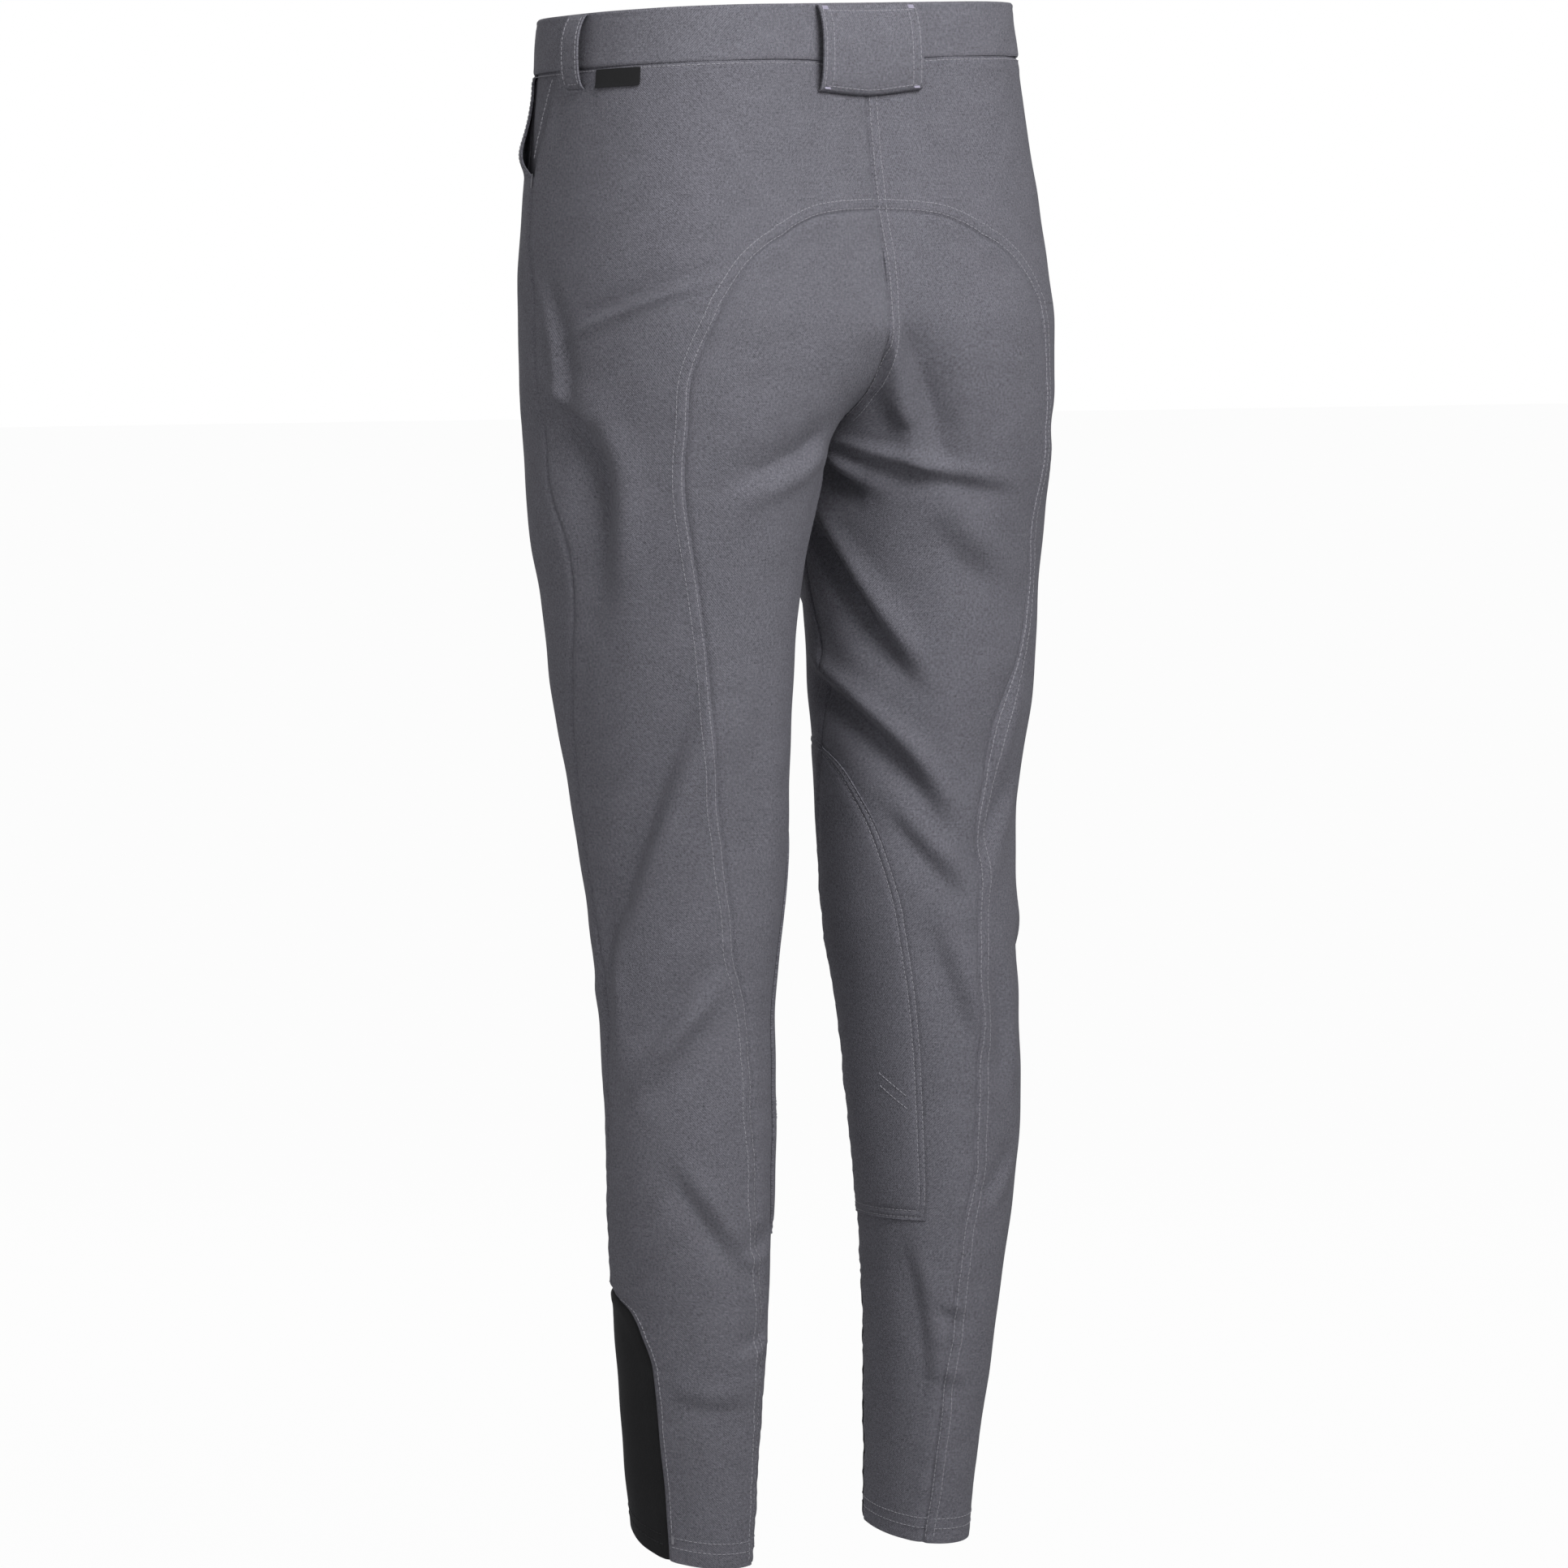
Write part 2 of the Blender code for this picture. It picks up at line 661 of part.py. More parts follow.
def belt_loops():
    wide = [("right", turn) for turn in spread(WIDE_LOOP_TURN, 180, 4)]
    wide += [("left", turn) for turn in spread(180, WIDE_LOOP_TURN, 4)[1:]]
    belt_loop("back_loop", wide, WIDE_LOOP_FOOT, 2 * SEAM_GAP)
    for leg, sign in SIDES.items():
        for place in NARROW_LOOPS:
            half = sign * place.span / 2
            ends = spread(place.turn + half, place.turn - half, 2)
            belt_loop(f"{leg}_{place.name}_loop", [(leg, turn) for turn in ends],
                      NARROW_LOOP_FOOT, SEAM_GAP)


def blank_tab():
    """A small woven tab caught in the waist seam behind the left side loop, left bare."""
    heights = (WAIST_SEAM - 1.5, -30, TAB_FOOT)
    rows = [[(turn, z) for turn in spread(TAB_FRONT_TURN, TAB_BACK_TURN, 3)] for z in heights]
    return cloth_piece("side_tab", "left", [rows], "tape", TAB_CLOTH,
                       lambda turn, z: TAB_CLOTH + 2 * SEAM_GAP)


def waist_button():
    """A flat sew-through button on the lapped end of the waistband."""
    radius, thick = 8.5, 2.4
    seat = BAND_PROUD + BAND_CLOTH + 3 * SEAM_GAP
    turn, z = -180 + LAP_TURN * 0.6, BAND_MIDDLE
    centre = cloth_point("right", turn, z, seat)
    normal = form_normal("right", turn, z)
    up = np.array([0.0, 0.0, 1.0])
    across = np.cross(up, normal)
    across /= np.linalg.norm(across)
    up = np.cross(normal, across)
    profile = ((0.0, 0.0), (radius - 0.6, 0.0), (radius, 0.6), (radius, thick - 0.5),
               (radius - 0.8, thick), (radius - 2.4, thick - 0.7), (0.0, thick - 0.7))
    sides = 20
    mesh = bmesh.new()
    rings = []
    for reach, height in profile:
        ring = []
        for k in range(sides if reach else 1):
            angle = 2 * math.pi * k / sides
            spoke = across * math.cos(angle) + up * math.sin(angle)
            ring.append(mesh.verts.new((centre + spoke * reach + normal * height) * MM))
        rings.append(ring)
    for low, high in zip(rings, rings[1:]):
        for k in range(sides):
            corners = [low[k % len(low)], low[(k + 1) % len(low)],
                       high[(k + 1) % len(high)], high[k % len(high)]]
            mesh.faces.new(list(dict.fromkeys(corners)))
    bmesh.ops.recalc_face_normals(mesh, faces=mesh.faces[:])
    return add_object("waist_button", mesh, "button")


def build():
    for item in list(bpy.data.objects):
        bpy.data.objects.remove(item)
    for name, (colour, roughness) in MATERIAL_TABLE.items():
        cloth_material(name, colour, roughness)
    for leg in SIDES:
        outer_panel(leg)
        seat_panel(leg)
        front_panel(leg)
        shin_panel(leg)
        pocket_facing(leg)
        knee_patch(leg)
    waistband()
    fly_placket()
    belt_loops()
    blank_tab()
    waist_button()


build()
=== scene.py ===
"""The looks of the riding breeches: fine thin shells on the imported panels' own form.

The script works in millimetres and writes metres. A place on the garment is (leg, turn, z):
turn runs round one half in degrees, 0 at the outer side, 90 at the back, -90 at the front,
180 at the centre seams and at the leg's inner side. The tables repeat the model's own.
"""
import math
from collections import namedtuple

import bpy
import numpy as np
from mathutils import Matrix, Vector, kdtree


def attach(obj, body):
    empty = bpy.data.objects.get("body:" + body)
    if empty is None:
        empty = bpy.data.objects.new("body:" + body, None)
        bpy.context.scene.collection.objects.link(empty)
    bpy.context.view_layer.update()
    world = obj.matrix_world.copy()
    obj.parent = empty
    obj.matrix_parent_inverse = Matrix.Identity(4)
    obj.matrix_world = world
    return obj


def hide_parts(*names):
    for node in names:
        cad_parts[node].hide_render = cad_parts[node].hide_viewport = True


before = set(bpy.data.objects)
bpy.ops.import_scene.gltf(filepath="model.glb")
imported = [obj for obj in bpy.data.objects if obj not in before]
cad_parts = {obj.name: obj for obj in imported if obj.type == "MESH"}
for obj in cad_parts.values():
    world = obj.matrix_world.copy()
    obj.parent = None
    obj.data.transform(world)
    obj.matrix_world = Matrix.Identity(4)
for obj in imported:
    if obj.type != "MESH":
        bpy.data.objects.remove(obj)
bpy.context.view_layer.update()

MM = 0.001
TINY = 1e-6
# Nearest that a panel comes to the plane between the halves, mm
TOUCH = 0.004
# Driving sizes, mm
SEAM_GAP = 0.3
CLOTH = 1.2
BAND_CLOTH = 2.4
BAND_PROUD = 0.6
LOOP_CLOTH = 1.4
THIN_CLOTH = 1.0
TAB_CLOTH = 0.6
BAND_TOP = 11
WAIST_SEAM = -23
PANEL_TOP = -20
SEAT_TOP = -113
ARC_FOOT = -170
CROTCH = -262
SHIN_TOP = -782
HEM = -946
POCKET_FOOT = -92
FLY_FOOT = -170
FLY_WIDTH_TURN = 44
FLY_ROUND_TOP = -118
PATCH_TOP = -445
PATCH_FOOT = -745
POCKET_GAPE = 6.0
POCKET_DEPTH = 1.5
POCKET_FACING_TOP = -20
LAP_START = 348
LAP_TURN = 52
WIDE_LOOP_TURN = 126
LOOP_TOP = 10
WIDE_LOOP_FOOT = -42
NARROW_LOOP_FOOT = -36
LOOP_STAND_OFF = 7.5
FACING_FRONT_TURN = -44
FACING_BACK_TURN = 2
TAB_FRONT_TURN = 16
TAB_BACK_TURN = 36
TAB_FOOT = -36

# Rows of stitches: their distances from the seam or edge they follow, and the hem's heights
SEAT_ROWS = (1.9, 7.4)
PATCH_ROWS = (1.7, 6.0)
POCKET_ROWS = (1.2, 3.6)
CENTRE_ROWS = (1.7, 6.4)
HEM_ROWS = (-931, -937)
FLY_ROW = 0.82

SIDES = {"left": 1, "right": -1}

# One row for each level of the seat and hips: half widths and depths of one half
Level = namedtuple("Level", "z side side_y back back_x back_end front front_x front_end round")
HIP_LEVELS = (
    Level(20, 152, -12, 87, 66, 86, -104, 60, -103, 2.30),
    Level(-19, 155, -11, 90, 68, 89, -107, 62, -106, 2.30),
    Level(-60, 160, -8, 96, 71, 93, -111, 64, -110, 2.25),
    Level(-106, 166, -4, 105, 74, 101, -114, 66, -112, 2.20),
    Level(-147, 170, 0, 113, 77, 112, -115, 70, -111, 2.15),
    Level(-183, 172, 3, 119, 80, 117, -114, 76, -104, 2.10),
    Level(-203, 172, 4, 119, 82, 108, -112, 80, -97, 2.10),
    Level(-219, 172, 5, 118, 83, 96, -110, 84, -86, 2.10),
    Level(-234, 171, 6, 117, 85, 76, -107, 88, -68, 2.10),
    Level(-248, 170, 7, 115, 86, 48, -104, 91, -42, 2.10),
    Level(CROTCH, 170, 8, 113, 88, 14, -101, 93, 14, 2.10),
)

# One row for each ring down a leg: its centre, half width, half depth and turn in degrees
Ring = namedtuple("Ring", "z x y half_width half_depth toe_out")
LEG_RINGS = {
    "left": (
        Ring(-300, 92, 10, 80, 97, 8),
        Ring(-356, 93, 11, 72, 87, 9),
        Ring(-420, 92, 13, 65.5, 81, 10),
        Ring(-489, 88, 16, 60, 73, 10),
        Ring(-550, 88, 20, 54.5, 65, 10),
        Ring(-611, 91.5, 26, 51, 56, 10),
        Ring(-693, 92, 31, 50, 53, 10),
        Ring(-795, 90, 29, 41.5, 54, 10),
        Ring(-897, 87, 25, 34, 48, 10),
        Ring(HEM, 85, 22, 30.5, 45, 10),
    ),
    "right": (
        Ring(-300, 92, 10, 78, 93, 8),
        Ring(-356, 95, 12, 72, 80, 9),
        Ring(-420, 95, 13, 68, 75, 10),
        Ring(-489, 90.5, 16, 60.5, 67, 10),
        Ring(-550, 90, 21, 59.5, 63, 10),
        Ring(-611, 93, 26, 56, 60, 10),
        Ring(-693, 95, 31, 52, 53, 10),
        Ring(-795, 92.5, 29, 40.5, 52, 10),
        Ring(-897, 87.5, 25, 32, 46, 10),
        Ring(HEM, 86, 22.5, 29.5, 42.5, 10),
    ),
}
LEG_ROUND = 2.1

# Where the long seams run, in degrees of turn, at each height
Seams = namedtuple("Seams", "z side seat_left seat_right inseam")
LONG_SEAMS = (
    Seams(WAIST_SEAM, -4, 66, 66, 180),
    Seams(-50, -8, 66, 66, 180),
    Seams(POCKET_FOOT, -16, 66, 66, 180),
    Seams(-125, -16, 80, 74, 180),
    Seams(ARC_FOOT, -12, 66, 66, 180),
    Seams(-225, -12, 55, 61, 180),
    Seams(CROTCH, -10, 55, 62, 180),
    Seams(-315, 3, 61, 65, 194),
    Seams(-345, 4, 65, 62, 195),
    Seams(-390, 0, 69, 68, 187),
    Seams(-440, -8, 71, 82, 192),
    Seams(-500, -13, 74, 87, 204),
    Seams(-560, -16, 83, 89, 212),
    Seams(-620, -13, 100, 92, 216),
    Seams(-700, -20, 106, 96, 218),
    Seams(SHIN_TOP, -30, 113, 107, 218),
    Seams(-865, -30, 120, 116, 218),
    Seams(HEM, -30, 125, 126, 218),
)

# The narrow belt loops: their middle and width in degrees of turn
LoopPlace = namedtuple("LoopPlace", "name turn span")
NARROW_LOOPS = (LoopPlace("side", 7, 8), LoopPlace("front", -83, 6))

Corner = namedtuple("Corner", "turn z")
# The top of the full seat, from its foot on the hip up to the centre back
SEAT_ARC = (
    Corner(66, ARC_FOOT),
    Corner(78, -144),
    Corner(90, -130),
    Corner(104, -122),
    Corner(126, -116),
    Corner(150, -114),
    Corner(180, SEAT_TOP),
)
# The outer edge of the stretch shin panel
SHIN_EDGE = (
    Corner(-30, SHIN_TOP),
    Corner(0, -793),
    Corner(11, -811),
    Corner(18, -829),
    Corner(21, -865),
    Corner(24, -905),
    Corner(26, HEM),
)
# The slanted mouth of the front pocket, from the waist down to the side seam
POCKET_MOUTH = (
    Corner(-30, WAIST_SEAM),
    Corner(-28, -46),
    Corner(-24, -69),
    Corner(-16, POCKET_FOOT),
)
# Knee patch edges, one row for each height
PatchRow = namedtuple("PatchRow", "z back front")
PATCH_EDGES = (
    PatchRow(PATCH_TOP, 200, 222),
    PatchRow(-455, 183, 242),
    PatchRow(-475, 165, 262),
    PatchRow(-515, 145, 280),
    PatchRow(-555, 135, 287),
    PatchRow(-600, 133, 290),
    PatchRow(-640, 132, 290),
    PatchRow(-680, 132, 290),
    PatchRow(-720, 132, 290),
    PatchRow(PATCH_FOOT, 134, 289),
)

# Small tilts of the rings: rise per mm of depth and per mm of width, at each height
Tilt = namedtuple("Tilt", "z rise_back rise_side")
TILTS = (
    Tilt(20, 0.04, -0.026),
    Tilt(-19, 0.04, -0.026),
    Tilt(-120, 0.0, 0.0),
    Tilt(-850, 0.0, 0.0),
    Tilt(HEM, -0.145, 0.0),
)
BACK_DIP = 5.0
HEM_FRONT_LIFT = 9.0


# ---- Folds ----
# A soft trough along a bent line through three places. ridge is the swelling beside it, on
# the side that lies to the left when walking from a to c (negative: on the right).
Fold = namedtuple("Fold", "ta za tb zb tc zc depth width ridge")
FOLDS = {
    "right": (
        # right leg, behind: the drag lines that run from the crotch down and outward
        Fold(178, -256, 134, -279, 86, -289, 5.0, 7, 2.0),
        Fold(166, -178, 136, -232, 108, -272, 8.0, 11, -3.2),
        Fold(172, -226, 150, -244, 134, -250, 3.0, 6, 1.0),
        Fold(174, -262, 168, -284, 150, -290, 9.0, 9, 2.4),
        Fold(188, -300, 164, -360, 132, -408, 9.5, 10, 3.5),
        Fold(202, -404, 150, -432, 112, -496, 8.0, 9, 3.5),
        Fold(124, -306, 106, -332, 86, -354, 3.0, 13, 1.5),
        Fold(148, -488, 124, -518, 98, -544, 3.5, 8, 1.5),
        Fold(180, -196, 176, -206, 179, -220, 2.6, 5, 1.0),
        Fold(122, -556, 112, -600, 98, -640, 3.2, 9, 1.6),
        Fold(78, -590, 70, -626, 74, -664, 3.0, 8, 1.4),
        Fold(62, -700, 78, -724, 92, -732, 2.2, 7, 1.0),
        Fold(128, -800, 112, -812, 96, -806, 1.8, 6, 0.8),
        Fold(124, -846, 106, -856, 84, -850, 1.5, 7, 0.7),
        Fold(156, -764, 140, -804, 136, -856, 2.4, 8, 1.0),
        Fold(70, -400, 88, -436, 84, -470, 3.5, 9, 1.5),
        Fold(60, -468, 88, -500, 92, -540, 2.6, 9, 1.2),
        # right leg, outer side and front, plain like the rest
        Fold(40, -250, 10, -300, -14, -360, 5.0, 13, 2.0),
        Fold(50, -560, 14, -600, -20, -628, 3.0, 11, 1.5),
        Fold(-172, -232, -140, -262, -100, -276, 6.0, 10, 2.5),
        Fold(-160, -296, -130, -340, -92, -372, 4.5, 10, 2.0),
        Fold(-110, -560, -80, -590, -46, -600, 3.0, 9, 1.5),
        Fold(-120, -650, -84, -668, -50, -660, 2.5, 9, 1.2),
    ),
    "left": (
        # left leg, outer and behind
        Fold(-2, -244, 30, -262, 16, -356, 12.0, 15, 2.2),
        Fold(-8, -226, 2, -240, 14, -250, 3.0, 6, 1.2),
        Fold(66, -400, 36, -482, -6, -576, 8.0, 12, 2.8),
        Fold(2, -540, -8, -590, -10, -640, 3.0, 9, 1.2),
        Fold(70, -574, 42, -606, 20, -632, 4.6, 9, 2.0),
        Fold(64, -147, 34, -162, 6, -184, 3.0, 5, 2.2),
        Fold(130, -246, 102, -264, 74, -280, 4.4, 9, 1.8),
        Fold(176, -236, 150, -262, 132, -300, 3.4, 9, 1.4),
        Fold(-2, -160, 8, -204, 4, -246, 3.6, 7, -1.6),
        Fold(40, -700, 62, -734, 90, -768, 3.4, 8, 1.6),
        Fold(22, -668, 44, -640, 82, -604, 2.8, 10, 1.4),
        Fold(128, -742, 112, -752, 92, -750, 2.0, 6, 0.9),
        Fold(30, -846, 62, -858, 100, -850, 1.6, 8, 0.7),
        Fold(120, -800, 104, -812, 84, -812, 1.6, 6, 0.8),
        Fold(96, -420, 84, -500, 96, -580, 2.0, 12, 0.9),
        Fold(-165, -232, -138, -258, -98, -282, 6.0, 10, 2.5),
        Fold(-156, -310, -126, -352, -88, -380, 4.5, 10, 2.0),
        Fold(-112, -570, -82, -596, -44, -612, 3.0, 9, 1.5),
        Fold(-122, -640, -86, -664, -50, -672, 2.5, 9, 1.2),
    ),
}


def table(heights, values, z):
    """A monotone cubic through a table whose heights fall row by row, for an array of z."""
    heights = np.asarray(heights, float)
    values = np.asarray(values, float)
    step = np.diff(heights)
    slope = np.diff(values) / step
    tangent = np.zeros(len(heights))
    for i in range(1, len(heights) - 1):
        if slope[i - 1] * slope[i] > 0:
            w1 = 2 * step[i] + step[i - 1]
            w2 = step[i] + 2 * step[i - 1]
            tangent[i] = (w1 + w2) / (w1 / slope[i - 1] + w2 / slope[i])
    tangent[0] = slope[0]
    tangent[-1] = slope[-1]
    z = np.clip(z, heights[-1], heights[0])
    i = np.clip(np.searchsorted(-heights, -z, side="right") - 1, 0, len(step) - 1)
    t = (z - heights[i]) / step[i]
    start = values[i] * (1 + 2 * t) * (1 - t) ** 2 + tangent[i] * step[i] * t * (1 - t) ** 2
    end = values[i + 1] * t * t * (3 - 2 * t) + tangent[i + 1] * step[i] * t * t * (t - 1)
    return start + end


def column(rows, name):
    return [getattr(row, name) for row in rows]


def ring_level(ring):
    """The extreme points of a turned leg ring, named as in Level, with its inner side."""
    sin, cos = math.sin(math.radians(ring.toe_out)), math.cos(math.radians(ring.toe_out))
    across = math.hypot(ring.half_width * cos, ring.half_depth * sin)
    deep = math.hypot(ring.half_depth * cos, ring.half_width * sin)
    skew = (ring.half_depth ** 2 - ring.half_width ** 2) * sin * cos
    level = Level(ring.z, ring.x + across, ring.y - skew / across, ring.y + deep,
                  ring.x - skew / deep, ring.y + skew / across, ring.y - deep,
                  ring.x + skew / deep, ring.y + skew / across, LEG_ROUND)
    return level, ring.x - across


def level_tables():
    tables = {}
    for leg in SIDES:
        levels = list(HIP_LEVELS)
        inner = [0.0] * len(levels)
        for ring in LEG_RINGS[leg]:
            level, inside = ring_level(ring)
            levels.append(level)
            inner.append(inside)
        tables[leg] = (levels, inner)
    return tables


TABLES = level_tables()
SEAT_SIDE_TURN = SEAT_ARC[0].turn
SHIN_INNER_TURN = LONG_SEAMS[-1].inseam - 360
CENTRE_TURN = 180


def wrapped(turn):
    """A turn between -180 and 180; one just past the centre seam is held on it."""
    turn = np.asarray(turn, float)
    inside = np.abs(turn) <= 180 + TINY
    return np.where(inside, np.clip(turn, -180, 180), (turn + 180) % 360 - 180)


def gauss(x):
    return np.exp(-x * x)


def form(leg, turn, z):
    """Places on the form without folds, mm."""
    turn, z = np.broadcast_arrays(wrapped(turn), np.asarray(z, float))
    levels, inner_column = TABLES[leg]
    heights = column(levels, "z")
    at = {name: table(heights, column(levels, name), z) for name in Level._fields[1:]}
    inner = table(heights, inner_column, z)
    power = 2 / at["round"]
    quarter = np.abs(turn) / 90
    behind = turn >= 0
    peak_x = np.where(behind, at["back_x"], at["front_x"])
    peak_y = np.where(behind, at["back"], at["front"])
    end_y = np.where(behind, at["back_end"], at["front_end"])
    angle = np.clip(quarter, 0, 1) * math.pi / 2
    near_x = peak_x + (at["side"] - peak_x) * np.clip(np.cos(angle), 0, 1) ** power
    near_y = at["side_y"] + (peak_y - at["side_y"]) * np.sin(angle) ** power
    above = z > CROTCH
    base_y = np.where(above, HIP_LEVELS[-1].back_end, at["back_end"])
    cut = np.where(above, np.clip((end_y - base_y) / (peak_y - base_y), 0, 0.9999), 0)
    reach = (1 - cut ** at["round"]) ** (1 / at["round"])
    last_angle = np.arcsin(np.minimum(1, reach ** (1 / power)))
    far = np.clip(quarter - 1, 0, 1) * last_angle
    far_x = peak_x - (peak_x - inner) * np.sin(far) ** power / reach
    far_y = base_y + (peak_y - base_y) * np.clip(np.cos(far), 0, 1) ** power
    x = np.where(quarter <= 1, near_x, far_x)
    y = np.where(quarter <= 1, near_y, far_y)
    heights = column(TILTS, "z")
    middle = (at["back"] + at["front"]) / 2
    shift = table(heights, column(TILTS, "rise_back"), z) * (y - middle)
    shift += table(heights, column(TILTS, "rise_side"), z) * SIDES[leg] * x
    below_top = np.clip((BAND_TOP - z) / (BAND_TOP - WAIST_SEAM), 0, 1)
    above_seat = np.clip((z - SEAT_TOP) / (WAIST_SEAM - SEAT_TOP), 0, 1)
    toward_centre = np.where(behind, gauss((180 - turn) / 45), 0)
    shift -= BACK_DIP * below_top * above_seat * toward_centre
    near_hem = np.clip((z - SHIN_TOP) / (HEM - SHIN_TOP), 0, 1)
    shift += HEM_FRONT_LIFT * near_hem ** 2 * gauss((turn + 45) / 40)
    return np.stack([SIDES[leg] * x, y, z + shift], -1)


TANGENT_TURN = 1.5
TANGENT_DROP = 2


def unit(vectors):
    return vectors / np.maximum(np.linalg.norm(vectors, axis=-1, keepdims=True), 1e-9)


def tangents(leg, turn, z):
    """mm per degree of turn and mm per mm down, as vectors."""
    turn, z = np.broadcast_arrays(np.asarray(turn, float), np.asarray(z, float))
    above = z > CROTCH
    low, high = turn - TANGENT_TURN, turn + TANGENT_TURN
    low = np.where(above, np.maximum(low, -CENTRE_TURN), low)
    high = np.where(above, np.minimum(high, CENTRE_TURN), high)
    around = (form(leg, high, z) - form(leg, low, z)) / (high - low)[..., None]
    lower, upper = np.maximum(z - TANGENT_DROP, HEM), np.minimum(z + TANGENT_DROP, BAND_TOP)
    down = (form(leg, turn, lower) - form(leg, turn, upper)) / (upper - lower)[..., None]
    return around, down


def normals(leg, turn, z):
    around, down = tangents(leg, turn, z)
    return unit(np.cross(around, down)) * -SIDES[leg]


FOLD_STEPS = 28
# A fold's profile, in its own widths: a steep flank on the side of the swelling, a gentle one
# on the other, a crease in the bottom, and the swelling beside it
FOLD_REACH = 4
STEEP_FLANK = 0.8
GENTLE_FLANK = 1.45
CREASE_SHARE = 0.3
CREASE_WIDTH = 0.5
SWELL_GAIN = 1.8
SWELL_AWAY = 1.45
SWELL_WIDTH = 0.8
SWELL_LENGTH = 1.3


def fold_line(leg, fold):
    """A fold's points on the form, their ways across it, and the share of its depth there."""
    t = np.linspace(0, 1, FOLD_STEPS)
    first, second, third = (1 - t) ** 2, 2 * t * (1 - t), t * t
    turn = first * fold.ta + second * fold.tb + third * fold.tc
    z = first * fold.za + second * fold.zb + third * fold.zc
    points = form(leg, turn, z)
    side = np.cross(normals(leg, turn, z), unit(np.gradient(points, axis=0)))
    depth = fold.depth * np.sin(math.pi * (0.04 + 0.92 * t)) ** 0.8
    return fold, points, side, depth


FOLD_LINES = {leg: [fold_line(leg, fold) for fold in FOLDS[leg]] for leg in SIDES}


def folds(leg, points):
    """How far the folds move places on the form: in along each trough, out beside it."""
    moved = np.zeros(len(points))
    for fold, line, side, depth in FOLD_LINES[leg]:
        reach = FOLD_REACH * fold.width
        low, high = line.min(0) - reach, line.max(0) + reach
        near = np.flatnonzero(((points > low) & (points < high)).all(1))
        if not len(near):
            continue
        offset = points[near, None, :] - line[None]
        distance = np.linalg.norm(offset, axis=2)
        nearest = distance.argmin(1)
        d = distance[np.arange(len(near)), nearest]
        across = (offset[np.arange(len(near)), nearest] * side[nearest]).sum(1)
        share = depth[nearest] / fold.depth
        signed = across / fold.width * math.copysign(1, fold.ridge)
        beyond = np.sqrt(np.maximum(d * d - across * across, 0)) / fold.width
        flank = np.where(signed > 0, STEEP_FLANK, GENTLE_FLANK)
        crease = CREASE_SHARE * np.exp(-np.abs(signed) / CREASE_WIDTH)
        trough = fold.depth * (gauss(signed / flank) + crease)
        swell = SWELL_GAIN * abs(fold.ridge) * gauss((signed - SWELL_AWAY) / SWELL_WIDTH)
        trough, swell = trough * gauss(beyond), swell * gauss(beyond / SWELL_LENGTH)
        moved[near] += share * (swell - trough)
    return moved


def slack(leg, points):
    """The slow unevenness of hanging twill."""
    x, y, z = points.T
    lean = SIDES[leg] * 1.3
    wave = 0.45 * np.sin(0.031 * z + 0.045 * x + lean) * np.sin(0.023 * y - 0.017 * z + 2.1)
    wave += 0.35 * np.sin(0.067 * z - 0.052 * y + 0.6 + lean) * np.sin(0.041 * x + 0.9)
    wave += 0.16 * np.sin(0.14 * z + 0.11 * x - 0.07 * y + lean)
    return wave * np.clip((-40 - z) / 60, 0, 1)


# ---- Seams ----

def seam_turn(name, z):
    return table(column(LONG_SEAMS, "z"), column(LONG_SEAMS, name), z)


def seat_turn(leg, z):
    """The seat seam, with the slight wander that sewing gives it below the thigh."""
    z = np.asarray(z, float)
    wander = np.sin(0.071 * z + SIDES[leg]) + 0.6 * np.sin(0.127 * z + 2.0)
    return seam_turn("seat_" + leg, z) + 0.9 * wander * np.clip((-440 - z) / 60, 0, 1)


def curve_z(corners, turn):
    turns = [-corner.turn for corner in corners]
    return table(turns, column(corners, "z"), -np.asarray(turn, float))


def curve_turn(corners, z):
    return table(column(corners, "z"), column(corners, "turn"), z)


def side_edge(z):
    return np.where(np.asarray(z) < SHIN_TOP, curve_turn(SHIN_EDGE, z), seam_turn("side", z))


def front_edge(z):
    z = np.asarray(z, float)
    return np.where(z > POCKET_FOOT, curve_turn(POCKET_MOUTH, z), seam_turn("side", z))


def even(start, end, step):
    return np.linspace(start, end, max(2, int(abs(end - start) / step) + 1))


def seam_paths(leg):
    """Every seam of one half as pairs of turn and z, at about 1 mm steps."""
    long_z = even(POCKET_FOOT, HEM, 1.0)
    facing_z = even(WAIST_SEAM, POCKET_FOOT, 1.0)
    hip_z = even(ARC_FOOT, HEM, 1.0)
    arc = even(SEAT_SIDE_TURN, CENTRE_TURN, 0.5)
    inseam_z = even(CROTCH, HEM, 1.0)
    centre_z = even(WAIST_SEAM, CROTCH, 1.0)
    shin = even(SHIN_EDGE[0].turn, SHIN_INNER_TURN, 0.8)
    around = even(-CENTRE_TURN, CENTRE_TURN, 0.5)
    return (
        (side_edge(long_z), long_z),
        (seam_turn("side", facing_z), facing_z),
        (seat_turn(leg, hip_z), hip_z),
        (arc, curve_z(SEAT_ARC, arc)),
        (seam_turn("inseam", inseam_z), inseam_z),
        (CENTRE_TURN, centre_z),
        (-CENTRE_TURN, centre_z),
        (shin, SHIN_TOP),
        (around, WAIST_SEAM),
    )


def seat_path(leg):
    """The seat seam from the centre back along the arc and down to the hem."""
    arc = even(CENTRE_TURN, SEAT_SIDE_TURN + 0.3, 0.5)
    down = even(ARC_FOOT - 1.0, HEM, 1.2)
    turn = np.concatenate([arc, seat_turn(leg, down)])
    return turn, np.concatenate([curve_z(SEAT_ARC, arc), down])


def point_tree(points):
    tree = kdtree.KDTree(len(points))
    for i, point in enumerate(points):
        tree.insert(point, i)
    tree.balance()
    return tree


def distances(tree, points):
    return np.array([tree.find(point)[2] for point in points])


